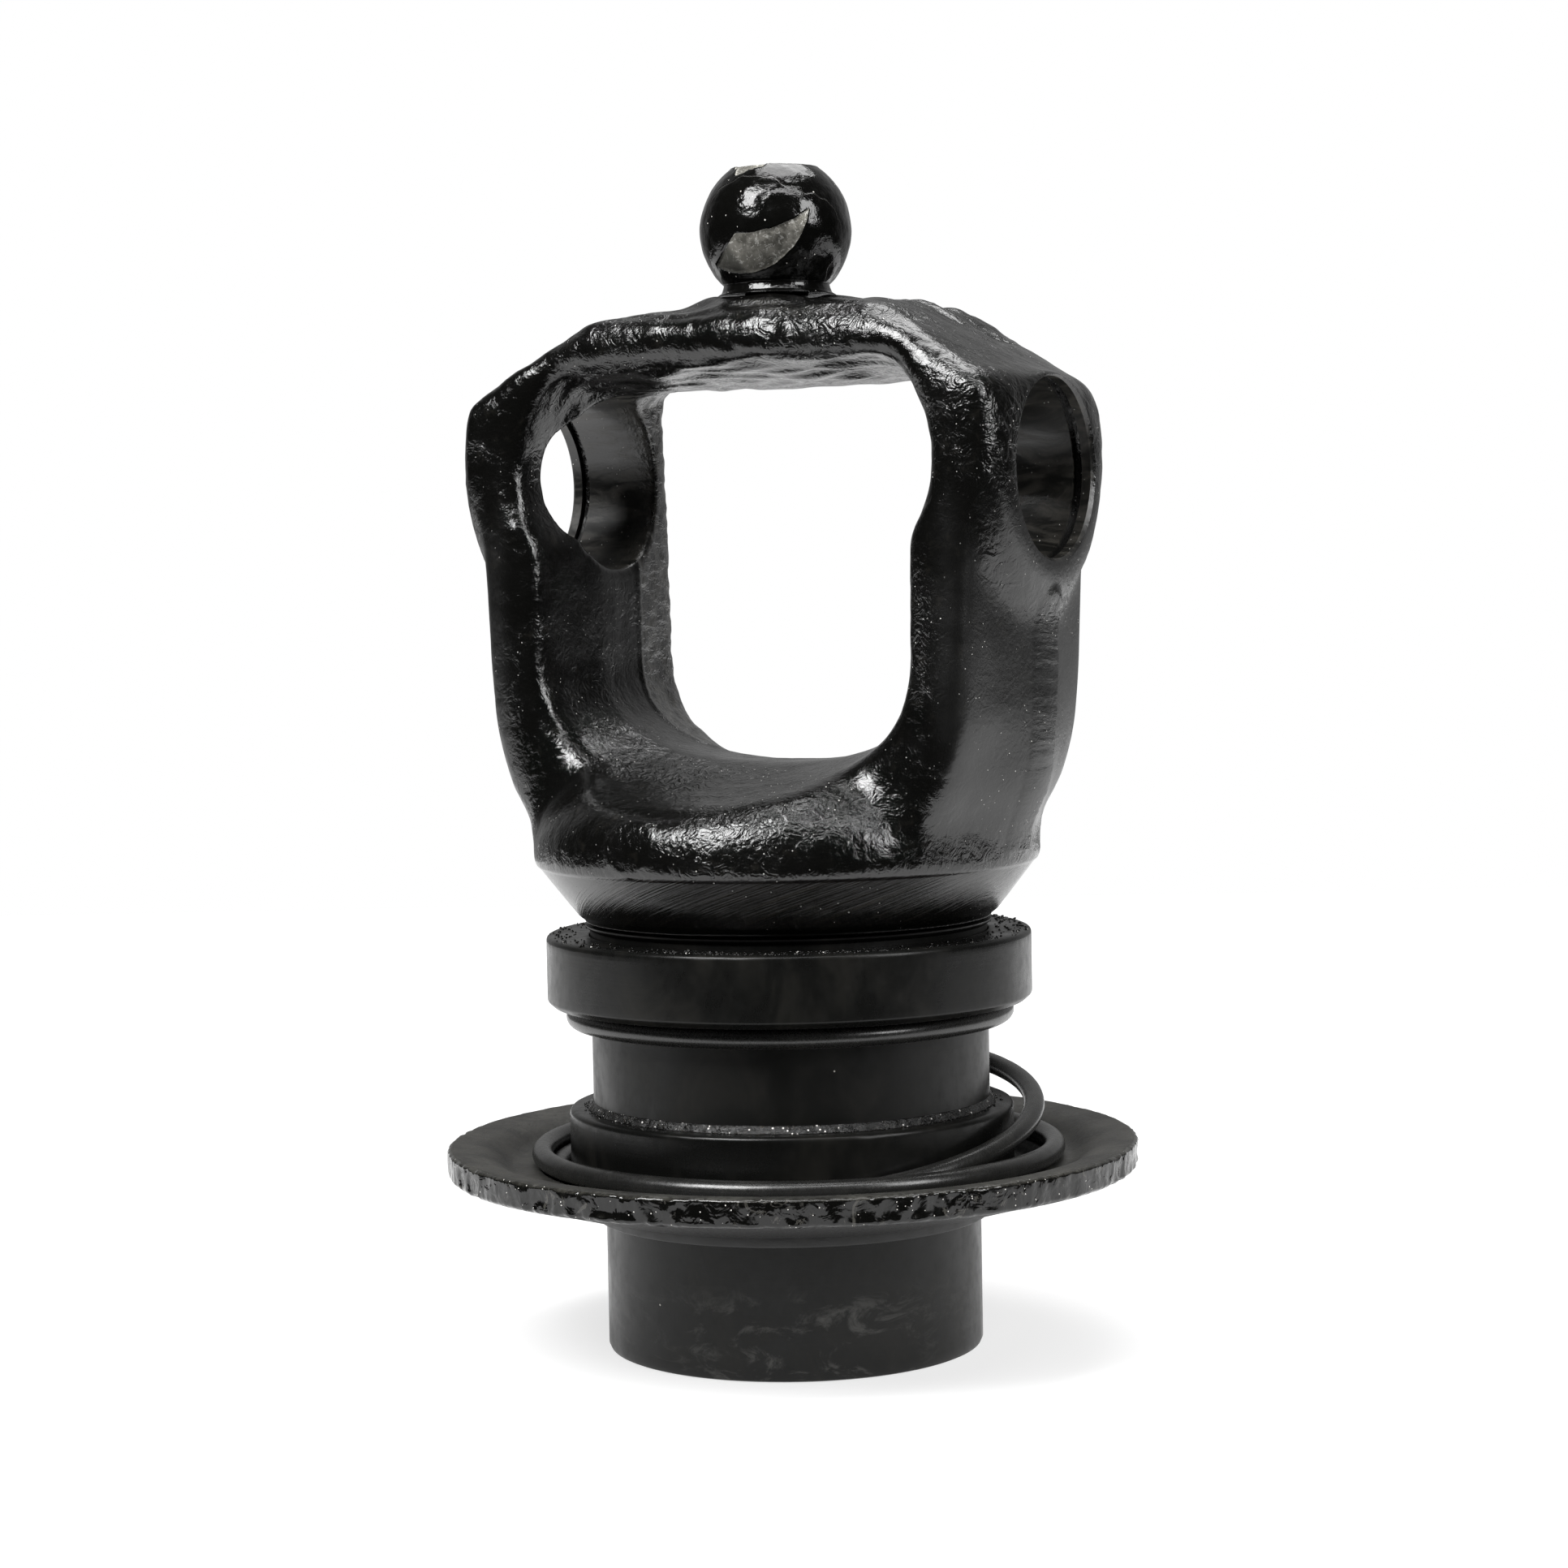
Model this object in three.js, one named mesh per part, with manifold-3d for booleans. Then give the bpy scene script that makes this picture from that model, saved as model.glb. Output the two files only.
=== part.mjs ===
// Ball-stud yoke of a centred universal joint, with the seals and the shield on its turned stub.
// Millimetres, +Z up the shaft axis, X along the cross bores, origin at the middle of the stub's end.
import * as THREE from 'three';
import { mergeVertices } from 'three/addons/utils/BufferGeometryUtils.js';
import Module from 'manifold-3d';

const wasm = await Module();
wasm.setup();

// Fits
const GAP = 0.3;
const TURNED_SIDES = 56;
const ROUND_SIDES = 40;
const RING_SIDES = 8;

// Stub shaft: the journal diameter is the driving dimension of everything turned
const JOURNAL_R = 55;
const STUB_R = 52.1;
const STUB_CHAMFER = 1.2;
const SHOULDER_Z = 47.7;
const SHAFT_TOP_Z = 118;
const NECK_R = 56.2;
const SPLINE_MINOR_R = 33;
const SPLINE_MAJOR_R = 36.5;
const SPLINE_TEETH = 24;
const SPLINE_RELIEF_R = 38.5;
const SPLINE_END_Z = 70;
const BORE_END_Z = 84;

// Shield and its retaining ring
const RIM_R = 95.75;
const RIM_TOP_Z = 57.1;
const RIM_LOW_Z = 49.4;
const TROUGH_Z = SHOULDER_Z - GAP;
const HUB_LOW_Z = 40.1;
const RETAINER_R = 54.8;
const RETAINER_H = 3.3;
const RETAINER_GROOVE_R = 50.2;
const RETAINER_GAP_W = 7;
const TROUGH_STEP_R = 68.2;
const TROUGH_STEP_Z = 51.3;
const TUBE_R = 2.85;

// Ring lying on the step in the trough, pushed a little to the right and bulging at the back
const TROUGH_RING_R = 71;
const TROUGH_RING_SHIFT = 1.8;
const TROUGH_RING_SHIFT_ANGLE = THREE.MathUtils.degToRad(29);
const TROUGH_RING_BULGE = 1.9;
const TROUGH_RING_BULGE_ANGLE = THREE.MathUtils.degToRad(145);

// Collars round the journal
const LOWER_COLLAR_R = 61.6;
const LOWER_COLLAR_TOP_Z = 67;
const UPPER_COLLAR_R = 67.1;
const UPPER_COLLAR_LOW_Z = 95.7;
const UPPER_COLLAR_TOP_Z = 115.1;
const O_GROOVE_DEPTH = 2.4;
const O_GROOVE_W = 4.4;
const LOWER_O_RING_Z = 58;
const UPPER_O_RING_Z = 105.5;

// Loose ring: it lies in the bottom of the trough at the front left and rides up at the back right
const LOOSE_LOW_Z = 50.6;
const LOOSE_RISE = 23.5;
const LOOSE_LOW_R = 64.8;
const LOOSE_SPREAD = 3.8;
const LOOSE_HIGH_ANGLE = THREE.MathUtils.degToRad(100);
const LOOSE_BACK_STEEPNESS = 2.1;

// Yoke forging
const BORE_Z = 240;
const BORE_R = 24;
const EAR_X = 83.4;
const BOSS_R = 35;
const EAR_HALF_DEPTH = 38.4;
const BRIDGE_HALF_DEPTH = 33;
const PARTING_LAND = 5;
const BRIDGE_TOP_Z = 286.5;
const CONE_LOW_Z = 120.7;
const CONE_LOW_R = 58.2;
const BASE_R = 70.3;
const BASE_LOW_Z = 134.5;
const SNAP_GROOVE_X = 78.5;
const SNAP_GROOVE_W = 2.6;
const SNAP_GROOVE_R = 25.5;

// Ball pin
const BALL_Z = 307.2;
const BALL_R = 20.75;
const BALL_TOP_Z = 324.2;
const PIN_NECK_R = 14.7;
const PIN_SPIGOT_R = 9;
const PIN_LOW_Z = 271;
const PIN_BOSS_Z = 289.2;

const paintedForging = new THREE.MeshStandardMaterial({ color: 0x141413, roughness: 0.35, metalness: 0.1 });
const paintedTurned = new THREE.MeshStandardMaterial({ color: 0x1b1c1b, roughness: 0.5, metalness: 0.2 });
const paintedSheet = new THREE.MeshStandardMaterial({ color: 0x252625, roughness: 0.7, metalness: 0.1 });
const chippedBall = new THREE.MeshStandardMaterial({ color: 0x2a2927, roughness: 0.3, metalness: 0.4 });
const springSteel = new THREE.MeshStandardMaterial({ color: 0x2c2d2d, roughness: 0.45, metalness: 0.6 });
const blackRubber = new THREE.MeshStandardMaterial({ color: 0x1e1e1d, roughness: 0.8, metalness: 0 });

// ---------- closed meshes and booleans ----------

// Keeps only positions, shares equal vertices, drops empty triangles and turns the faces outward.
function closed(geometry) {
  const bare = geometry.index ? geometry.toNonIndexed() : geometry.clone();
  bare.deleteAttribute('normal');
  bare.deleteAttribute('uv');
  const merged = mergeVertices(bare, 1e-4);
  const corners = merged.index.array;
  const place = merged.attributes.position;
  const kept = [];
  for (let i = 0; i < corners.length; i += 3) {
    const [a, b, c] = [corners[i], corners[i + 1], corners[i + 2]];
    if (a !== b && b !== c && c !== a) kept.push(a, b, c);
  }
  let volume = 0;
  const [p, q, r] = [new THREE.Vector3(), new THREE.Vector3(), new THREE.Vector3()];
  for (let i = 0; i < kept.length; i += 3) {
    p.fromBufferAttribute(place, kept[i]);
    q.fromBufferAttribute(place, kept[i + 1]);
    r.fromBufferAttribute(place, kept[i + 2]);
    volume += p.dot(q.cross(r));
  }
  if (volume < 0) kept.reverse();
  merged.setIndex(kept);
  return merged;
}

function solid(geometry) {
  const mesh = closed(geometry);
  return new wasm.Manifold(new wasm.Mesh({
    numProp: 3,
    vertProperties: new Float32Array(mesh.attributes.position.array),
    triVerts: new Uint32Array(mesh.index.array),
  }));
}

function geometryOf(manifold) {
  const mesh = manifold.getMesh();
  const geometry = new THREE.BufferGeometry();
  geometry.setAttribute('position', new THREE.BufferAttribute(new Float32Array(mesh.vertProperties), 3));
  geometry.setIndex(Array.from(mesh.triVerts));
  return geometry;
}

// A body of revolution about Z from [radius, z] pairs. A ring's profile is closed on itself.
function turned(profile, sides = TURNED_SIDES) {
  const points = profile.map(([radius, z]) => new THREE.Vector2(radius, z));
  if (profile[0][0] > 0) points.push(points[0].clone());
  return closed(new THREE.LatheGeometry(points, sides).rotateX(Math.PI / 2));
}

// A tube of round section along a closed path about Z, given by radius and height at each angle.
function ringTube(radiusAt, heightAt, tubeR, steps = TURNED_SIDES, sides = RING_SIDES) {
  const positions = [];
  const faces = [];
  for (let i = 0; i < steps; i += 1) {
    const angle = (i / steps) * 2 * Math.PI;
    for (let j = 0; j < sides; j += 1) {
      const turn = (j / sides) * 2 * Math.PI;
      const radius = radiusAt(angle) + tubeR * Math.cos(turn);
      const height = heightAt(angle) + tubeR * Math.sin(turn);
      positions.push(radius * Math.cos(angle), radius * Math.sin(angle), height);
      const [here, next] = [i * sides, ((i + 1) % steps) * sides];
      const after = (j + 1) % sides;
      faces.push(here + j, next + j, next + after, here + j, next + after, here + after);
    }
  }
  const geometry = new THREE.BufferGeometry();
  geometry.setAttribute('position', new THREE.Float32BufferAttribute(positions, 3));
  geometry.setIndex(faces);
  return closed(geometry);
}

// A closed body through rings of [x, y, z] points, all with the same number of points.
function loft(rings) {
  const count = rings[0].length;
  const positions = rings.flat(2);
  const faces = [];
  for (let k = 0; k + 1 < rings.length; k += 1) {
    for (let i = 0; i < count; i += 1) {
      const next = (i + 1) % count;
      const [a, b] = [k * count + i, k * count + next];
      faces.push(a, b, b + count, a, b + count, a + count);
    }
  }
  const flat = rings[0].map(([x, , z]) => new THREE.Vector2(x, z));
  const lastRing = (rings.length - 1) * count;
  const clockwise = THREE.ShapeUtils.isClockWise(flat);
  for (const triangle of THREE.ShapeUtils.triangulateShape(flat, [])) {
    const [a, b, c] = clockwise ? triangle.reverse() : triangle;
    faces.push(a, c, b, lastRing + a, lastRing + b, lastRing + c);
  }
  const geometry = new THREE.BufferGeometry();
  geometry.setAttribute('position', new THREE.Float32BufferAttribute(positions, 3));
  geometry.setIndex(faces);
  return closed(geometry);
}

function box(low, high) {
  const size = high.map((value, i) => value - low[i]);
  const middle = high.map((value, i) => (value + low[i]) / 2);
  return new THREE.BoxGeometry(...size).translate(...middle);
}

// Both sides of the YZ plane: the half outline, then its mirror image in reverse order.
function mirroredRing(half, y) {
  const right = half.map(([x, z, depth = y]) => [x, Math.sign(y) * Math.abs(depth), z]);
  const left = half.map(([x, z, depth = y]) => [-x, Math.sign(y) * Math.abs(depth), z]).reverse();
  return [...right, ...left];
}

// ---------- yoke forging ----------

// Outer outline of the arms, ears and bridge: [z, half width at the parting land, half width at the face].
const ARM_STATIONS = [
  [135, 60, 50], [146, 72, 60], [156, 77, 67], [172, 79, 72],
  [192, 79.5, 73.7], [226, 80.5, 75], [244, 82.5, 80], [262, 82.5, 80],
];
const BRIDGE_SHOULDER_X = 46;
const BRIDGE_DRAFT = 3;

function frameBody() {
  const atParting = ARM_STATIONS.map(([z, parting]) => [parting, z]);
  atParting.push([BRIDGE_SHOULDER_X, BRIDGE_TOP_Z]);
  const atFace = ARM_STATIONS.map(([z, , face]) => [face, z]);
  atFace.push([BRIDGE_SHOULDER_X, BRIDGE_TOP_Z - BRIDGE_DRAFT, BRIDGE_HALF_DEPTH]);
  return solid(loft([
    mirroredRing(atFace, -EAR_HALF_DEPTH),
    mirroredRing(atParting, -PARTING_LAND),
    mirroredRing(atParting, PARTING_LAND),
    mirroredRing(atFace, EAR_HALF_DEPTH),
  ]));
}

// Window section: straight sides, a superellipse floor and small round top corners.
function windowRing(y, halfWidth, floorCentre, floorDepth, topZ) {
  const power = 2 / 2.4;
  const cornerR = 6;
  const half = [];
  const floorSteps = 9;
  for (let i = 0; i <= floorSteps; i += 1) {
    const turn = ((i + 0.5) / (floorSteps + 0.5)) * (Math.PI / 2);
    const x = halfWidth * Math.sin(turn) ** power;
    half.push([x, floorCentre - floorDepth * Math.max(Math.cos(turn), 0) ** power]);
  }
  for (let i = 0; i <= 3; i += 1) {
    const turn = (i / 3) * (Math.PI / 2);
    half.push([halfWidth - cornerR + cornerR * Math.cos(turn), topZ - cornerR + cornerR * Math.sin(turn)]);
  }
  return mirroredRing(half, y);
}

// The window narrows to a ridge along the parting plane, flares to both arm faces and runs on over the base.
const RIDGE_HALF = 10;
const WINDOW_REACH = 75;
const ridge = { halfWidth: 52.3, floorCentre: 190, floorDepth: 27.8, topZ: 265 };
const mouth = { halfWidth: 57, floorCentre: 192, floorDepth: 37, topZ: 271 };
const outside = { halfWidth: 60, floorCentre: 192, floorDepth: 42, topZ: 280 };

function windowBody() {
  const stations = [[RIDGE_HALF, ridge], [EAR_HALF_DEPTH, mouth], [WINDOW_REACH, outside]];
  const back = stations.map(([y, section]) => windowRing(y, ...Object.values(section)));
  const front = stations.map(([y, section]) => windowRing(-y, ...Object.values(section))).reverse();
  return solid(loft([...front, ...back]));
}

// Clearance scallop on an ear's inner front edge: a leaning cylinder, kept to the ear side of the window.
const SCALLOP_R = 30.7;
const SCALLOP_Z = 242.5;
const SCALLOP_REACH = [[51, 8], [62, 21], [64.3, EAR_HALF_DEPTH + 8]];

function scallop(side) {
  const rings = SCALLOP_REACH.map(([deepestX, depth]) => {
    const ring = [];
    for (let i = 0; i < ROUND_SIDES; i += 1) {
      const turn = (i / ROUND_SIDES) * 2 * Math.PI;
      const x = deepestX - SCALLOP_R + SCALLOP_R * Math.cos(turn);
      ring.push([side * x, -depth, SCALLOP_Z + SCALLOP_R * Math.sin(turn)]);
    }
    return ring;
  });
  const kept = box([side > 0 ? 48 : -90, -60, 200], [side > 0 ? 90 : -48, 60, 264]);
  return solid(loft(rings)).intersect(solid(kept));
}

// Cross bore through both ears, with a snap-ring groove and a small chamfer in each.
function crossBore() {
  const grooveIn = SNAP_GROOVE_X - SNAP_GROOVE_W / 2;
  const grooveOut = SNAP_GROOVE_X + SNAP_GROOVE_W / 2;
  const half = [
    [BORE_R, grooveIn], [SNAP_GROOVE_R, grooveIn], [SNAP_GROOVE_R, grooveOut], [BORE_R, grooveOut],
    [BORE_R, EAR_X - 1.2], [BORE_R + 2.8, EAR_X + 1.6], [BORE_R + 2.8, EAR_X + 5], [0, EAR_X + 5],
  ];
  const mirrored = half.map(([radius, along]) => [radius, -along]).reverse();
  return solid(turned([...mirrored, ...half], ROUND_SIDES).rotateY(Math.PI / 2).translate(0, 0, BORE_Z));
}

function earBoss(side) {
  const profile = [[0, 60], [BOSS_R, 60], [BOSS_R, EAR_X - 1], [BOSS_R - 1, EAR_X], [0, EAR_X]];
  return solid(turned(profile, ROUND_SIDES).rotateY(side * Math.PI / 2).translate(0, 0, BORE_Z));
}

// Base: a round forging with a machined cone and neck below it.
function baseBody() {
  return solid(turned([
    [0, SHAFT_TOP_Z + GAP], [NECK_R, SHAFT_TOP_Z + GAP], [CONE_LOW_R, CONE_LOW_Z],
    [BASE_R - 0.8, BASE_LOW_Z], [BASE_R, BASE_LOW_Z + 2], [BASE_R, 143],
    [67.5, 148.5], [62, 155], [52, 163], [0, 172],
  ]));
}

// The large flat that slopes from the bridge to the outer end of an ear, as the body above it.
// The forging is a little higher on its right ear than on its left.
const FACET_X = 61.4;
const FACETS = { right: { side: 1, slopeDeg: 31.2, z: 276.2 }, left: { side: -1, slopeDeg: 30, z: 273 } };

function topFacet({ side, slopeDeg, z }) {
  const above = box([-70, -60, 0], [70, 60, 60]);
  return solid(above.rotateY(side * THREE.MathUtils.degToRad(slopeDeg)).translate(side * FACET_X, 0, z));
}

function pinBoss() {
  return solid(turned([[0, 280], [27, 280], [24, 286], [18.5, PIN_BOSS_Z], [0, PIN_BOSS_Z]], ROUND_SIDES));
}

function pinHole() {
  return solid(turned([[0, PIN_LOW_Z], [PIN_SPIGOT_R, PIN_LOW_Z], [PIN_SPIGOT_R, 300], [0, 300]], ROUND_SIDES));
}

function yokeForging() {
  let body = frameBody().add(baseBody()).add(pinBoss());
  for (const facet of Object.values(FACETS)) body = body.add(earBoss(facet.side)).subtract(topFacet(facet));
  body = body.subtract(windowBody());
  for (const side of [1, -1]) body = body.subtract(scallop(side));
  return geometryOf(body.subtract(crossBore()).subtract(pinHole()));
}

// ---------- turned pieces ----------

function ballPin() {
  const neckZ = BALL_Z - Math.sqrt(BALL_R ** 2 - PIN_NECK_R ** 2);
  const profile = [
    [0, PIN_LOW_Z + GAP], [PIN_SPIGOT_R - GAP, PIN_LOW_Z + GAP], [PIN_SPIGOT_R - GAP, PIN_BOSS_Z + GAP],
    [PIN_NECK_R + 1.6, PIN_BOSS_Z + GAP], [PIN_NECK_R, PIN_BOSS_Z + GAP + 1.6],
  ];
  const lowTurn = Math.asin((neckZ - BALL_Z) / BALL_R);
  const highTurn = Math.asin((BALL_TOP_Z - BALL_Z) / BALL_R);
  const steps = 14;
  for (let i = 0; i <= steps; i += 1) {
    const turn = lowTurn + (highTurn - lowTurn) * (i / steps);
    profile.push([BALL_R * Math.cos(turn), BALL_Z + BALL_R * Math.sin(turn)]);
  }
  profile.push([0, BALL_TOP_Z]);
  return turned(profile, ROUND_SIDES);
}

function splineCutter() {
  const outline = new THREE.Shape();
  const pitch = (2 * Math.PI) / SPLINE_TEETH;
  for (let i = 0; i < SPLINE_TEETH; i += 1) {
    const stations = [
      [SPLINE_MINOR_R, -0.3], [SPLINE_MAJOR_R, -0.12], [SPLINE_MAJOR_R, 0.12], [SPLINE_MINOR_R, 0.3],
    ];
    for (const [radius, part] of stations) {
      const angle = (i + part) * pitch;
      outline[i || part > -0.3 ? 'lineTo' : 'moveTo'](radius * Math.cos(angle), radius * Math.sin(angle));
    }
  }
  outline.closePath();
  const cutter = new THREE.ExtrudeGeometry(outline, { depth: SPLINE_END_Z + 6, bevelEnabled: false });
  return solid(cutter.translate(0, 0, -5));
}

function stubShaft() {
  const oGroove = (z) => [
    [JOURNAL_R, z - O_GROOVE_W / 2], [JOURNAL_R - O_GROOVE_DEPTH, z - O_GROOVE_W / 2],
    [JOURNAL_R - O_GROOVE_DEPTH, z + O_GROOVE_W / 2], [JOURNAL_R, z + O_GROOVE_W / 2],
  ];
  const retainerLowZ = HUB_LOW_Z - RETAINER_H - 2 * GAP;
  const body = turned([
    [0, 0], [STUB_R - STUB_CHAMFER, 0], [STUB_R, STUB_CHAMFER],
    [STUB_R, retainerLowZ], [RETAINER_GROOVE_R, retainerLowZ],
    [RETAINER_GROOVE_R, HUB_LOW_Z], [STUB_R, HUB_LOW_Z],
    [STUB_R, SHOULDER_Z], [JOURNAL_R, SHOULDER_Z],
    ...oGroove(LOWER_O_RING_Z), ...oGroove(UPPER_O_RING_Z),
    [JOURNAL_R, SHAFT_TOP_Z - 1.5], [NECK_R, SHAFT_TOP_Z - 0.8], [NECK_R, SHAFT_TOP_Z], [0, SHAFT_TOP_Z],
  ]);
  const relief = turned([
    [0, SPLINE_END_Z], [SPLINE_RELIEF_R, SPLINE_END_Z], [SPLINE_RELIEF_R, BORE_END_Z - 5],
    [SPLINE_RELIEF_R - 4, BORE_END_Z], [0, BORE_END_Z],
  ], ROUND_SIDES);
  const mouthR = SPLINE_MAJOR_R + 1.5;
  const leadIn = turned([[0, -1], [mouthR + 1, -1], [SPLINE_MINOR_R, SPLINE_MAJOR_R - SPLINE_MINOR_R + 1.5],
    [0, SPLINE_MAJOR_R - SPLINE_MINOR_R + 1.5]], ROUND_SIDES);
  return geometryOf(solid(body).subtract(solid(relief)).subtract(solid(leadIn)).subtract(splineCutter()));
}

function upperCollar() {
  const boreR = JOURNAL_R + GAP;
  return turned([
    [boreR, UPPER_COLLAR_LOW_Z], [UPPER_COLLAR_R - 1.8, UPPER_COLLAR_LOW_Z],
    [UPPER_COLLAR_R, UPPER_COLLAR_LOW_Z + 1.6], [UPPER_COLLAR_R, UPPER_COLLAR_TOP_Z - 0.6],
    [UPPER_COLLAR_R - 0.6, UPPER_COLLAR_TOP_Z], [boreR, UPPER_COLLAR_TOP_Z],
  ]);
}

function lowerCollar() {
  const boreR = JOURNAL_R + GAP;
  return turned([
    [boreR, SHOULDER_Z], [LOWER_COLLAR_R - 0.8, SHOULDER_Z], [LOWER_COLLAR_R, SHOULDER_Z + 0.8],
    [LOWER_COLLAR_R, LOWER_COLLAR_TOP_Z - 0.9], [LOWER_COLLAR_R - 0.9, LOWER_COLLAR_TOP_Z],
    [boreR, LOWER_COLLAR_TOP_Z],
  ]);
}

function dishedShield() {
  const hubR = STUB_R + GAP;
  return turned([
    [hubR, HUB_LOW_Z], [60, HUB_LOW_Z], [66, 41.6], [80, 45.6], [91, 48.6], [RIM_R - 1, RIM_LOW_Z],
    [RIM_R, RIM_LOW_Z + 1], [RIM_R, RIM_TOP_Z - 0.8], [RIM_R - 0.8, RIM_TOP_Z], [86, RIM_TOP_Z - 1],
    [83, RIM_TOP_Z - 2.4], [79.5, 52.2], [77.5, TROUGH_STEP_Z], [TROUGH_STEP_R + 2.2, TROUGH_STEP_Z],
    [TROUGH_STEP_R + 1, 49.6], [TROUGH_STEP_R, TROUGH_Z], [hubR, TROUGH_Z],
  ]);
}

function retainingRing() {
  const lowZ = HUB_LOW_Z - GAP - RETAINER_H;
  const inR = RETAINER_GROOVE_R + GAP;
  const ring = turned([[inR, lowZ], [RETAINER_R, lowZ], [RETAINER_R, lowZ + RETAINER_H], [inR, lowZ + RETAINER_H]]);
  const gap = box([-RETAINER_GAP_W / 2, 45, lowZ - 1], [RETAINER_GAP_W / 2, 60, lowZ + RETAINER_H + 1]);
  return geometryOf(solid(ring).subtract(solid(gap)));
}

// ---------- rubber rings ----------

function flatRing(radius, z, tubeR) {
  return ringTube(() => radius, () => z, tubeR);
}

// O-ring squeezed between its groove in the journal and a collar's bore.
function grooveRing(z) {
  const floorR = JOURNAL_R - O_GROOVE_DEPTH + GAP;
  const tubeR = (JOURNAL_R - floorR) / 2;
  return ringTube(() => floorR + tubeR, () => z, tubeR, 40, 6);
}

function troughRing() {
  const bulge = (angle) => Math.max(0, Math.cos(angle - TROUGH_RING_BULGE_ANGLE)) ** 2;
  const radiusAt = (angle) => TROUGH_RING_R + TROUGH_RING_SHIFT * Math.cos(angle - TROUGH_RING_SHIFT_ANGLE)
    + TROUGH_RING_BULGE * bulge(angle);
  return ringTube(radiusAt, () => TROUGH_STEP_Z + GAP + TUBE_R, TUBE_R);
}

// The loose ring falls more steeply behind its highest point than in front of it.
function looseRing() {
  const lift = (angle) => {
    const away = (angle - LOOSE_HIGH_ANGLE + 3 * Math.PI) % (2 * Math.PI) - Math.PI;
    const turn = away > 0 ? Math.min(Math.PI, LOOSE_BACK_STEEPNESS * away) : away;
    return (1 + Math.cos(turn)) / 2;
  };
  return ringTube(
    (angle) => LOOSE_LOW_R + LOOSE_SPREAD * lift(angle),
    (angle) => LOOSE_LOW_Z + LOOSE_RISE * lift(angle),
    TUBE_R,
  );
}

// ---------- assembly ----------

const assembly = new THREE.Group();

function addPiece(name, geometry, material) {
  const mesh = new THREE.Mesh(geometry, material);
  mesh.name = name;
  assembly.add(mesh);
}

addPiece('yoke_forging', yokeForging(), paintedForging);
addPiece('centring_ball_pin', ballPin(), chippedBall);
addPiece('stub_shaft', stubShaft(), paintedTurned);
addPiece('upper_collar', upperCollar(), paintedTurned);
addPiece('upper_collar_o_ring', grooveRing(UPPER_O_RING_Z), blackRubber);
addPiece('upper_seal_ring', flatRing(JOURNAL_R + GAP + TUBE_R + 1, UPPER_COLLAR_LOW_Z - GAP - TUBE_R, TUBE_R),
  blackRubber);
addPiece('lower_collar', lowerCollar(), paintedTurned);
addPiece('lower_collar_o_ring', grooveRing(LOWER_O_RING_Z), blackRubber);
addPiece('loose_seal_ring', looseRing(), blackRubber);
addPiece('trough_seal_ring', troughRing(), blackRubber);
addPiece('dished_shield', dishedShield(), paintedSheet);
addPiece('shield_retaining_ring', retainingRing(), springSteel);

export default assembly;
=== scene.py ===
"""Looks of the ball-stud yoke: forged skin, turned seats, rubber rings, dished shield and chipped ball.

Shapes are worked out in millimetres, in the frame's axes, and turned into metres when a mesh is made.
"""

import math
import random

import bmesh
import bpy
import numpy as np
from mathutils import Matrix, Vector, noise


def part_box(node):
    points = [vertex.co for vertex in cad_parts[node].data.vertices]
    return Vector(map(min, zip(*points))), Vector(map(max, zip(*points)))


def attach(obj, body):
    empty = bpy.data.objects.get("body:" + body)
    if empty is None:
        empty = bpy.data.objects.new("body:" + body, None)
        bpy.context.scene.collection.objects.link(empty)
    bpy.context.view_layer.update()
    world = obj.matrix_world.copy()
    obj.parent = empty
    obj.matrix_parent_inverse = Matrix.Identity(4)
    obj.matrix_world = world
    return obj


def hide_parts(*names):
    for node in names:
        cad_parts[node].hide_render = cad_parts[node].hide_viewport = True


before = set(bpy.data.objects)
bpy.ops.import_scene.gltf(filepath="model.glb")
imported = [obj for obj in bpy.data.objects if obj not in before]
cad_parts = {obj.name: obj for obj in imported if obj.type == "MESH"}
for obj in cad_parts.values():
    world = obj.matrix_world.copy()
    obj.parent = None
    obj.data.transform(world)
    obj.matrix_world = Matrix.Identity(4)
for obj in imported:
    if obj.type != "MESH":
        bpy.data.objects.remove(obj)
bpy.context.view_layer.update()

MM = 0.001


def extent(node):
    """Outer radius, lowest z and highest z of a CAD node that lies round the Z axis, in millimetres."""
    low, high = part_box(node)
    return high.x / MM, low.z / MM, high.z / MM


# ---------- sizes, read from the frame ----------

UPPER_COLLAR_R, UPPER_COLLAR_LOW_Z, UPPER_COLLAR_TOP_Z = extent("upper_collar")
LOWER_COLLAR_R, LOWER_COLLAR_LOW_Z, LOWER_COLLAR_TOP_Z = extent("lower_collar")
RIM_R, HUB_LOW_Z, RIM_TOP_Z = extent("dished_shield")
RETAINER_R, RETAINER_LOW_Z, RETAINER_TOP_Z = extent("shield_retaining_ring")
NECK_R, _, SHAFT_TOP_Z = extent("stub_shaft")
BALL_R, PIN_LOW_Z, BALL_TOP_Z = extent("centring_ball_pin")
EAR_X, _, YOKE_TOP_Z = extent("yoke_forging")
JOURNAL_R = NECK_R - 1.2
STUB_R = JOURNAL_R - 2.9
BALL_Z = BALL_TOP_Z - 17.0

# Sizes that no node's box gives.
GAP = 0.3
TUBE_R = 2.85
STEP_DEPTH = 5.8
UPPER_GROOVE_Z = 105.5
LOWER_GROOVE_Z = 58.0
GROOVE_DEPTH = 2.4
BORE_Z = 240.0
BORE_R = 24.0
CONE_LOW_Z = 120.7
CONE_LOW_R = 58.2
BASE_LOW_Z = 134.5
BASE_R = 70.3

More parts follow.
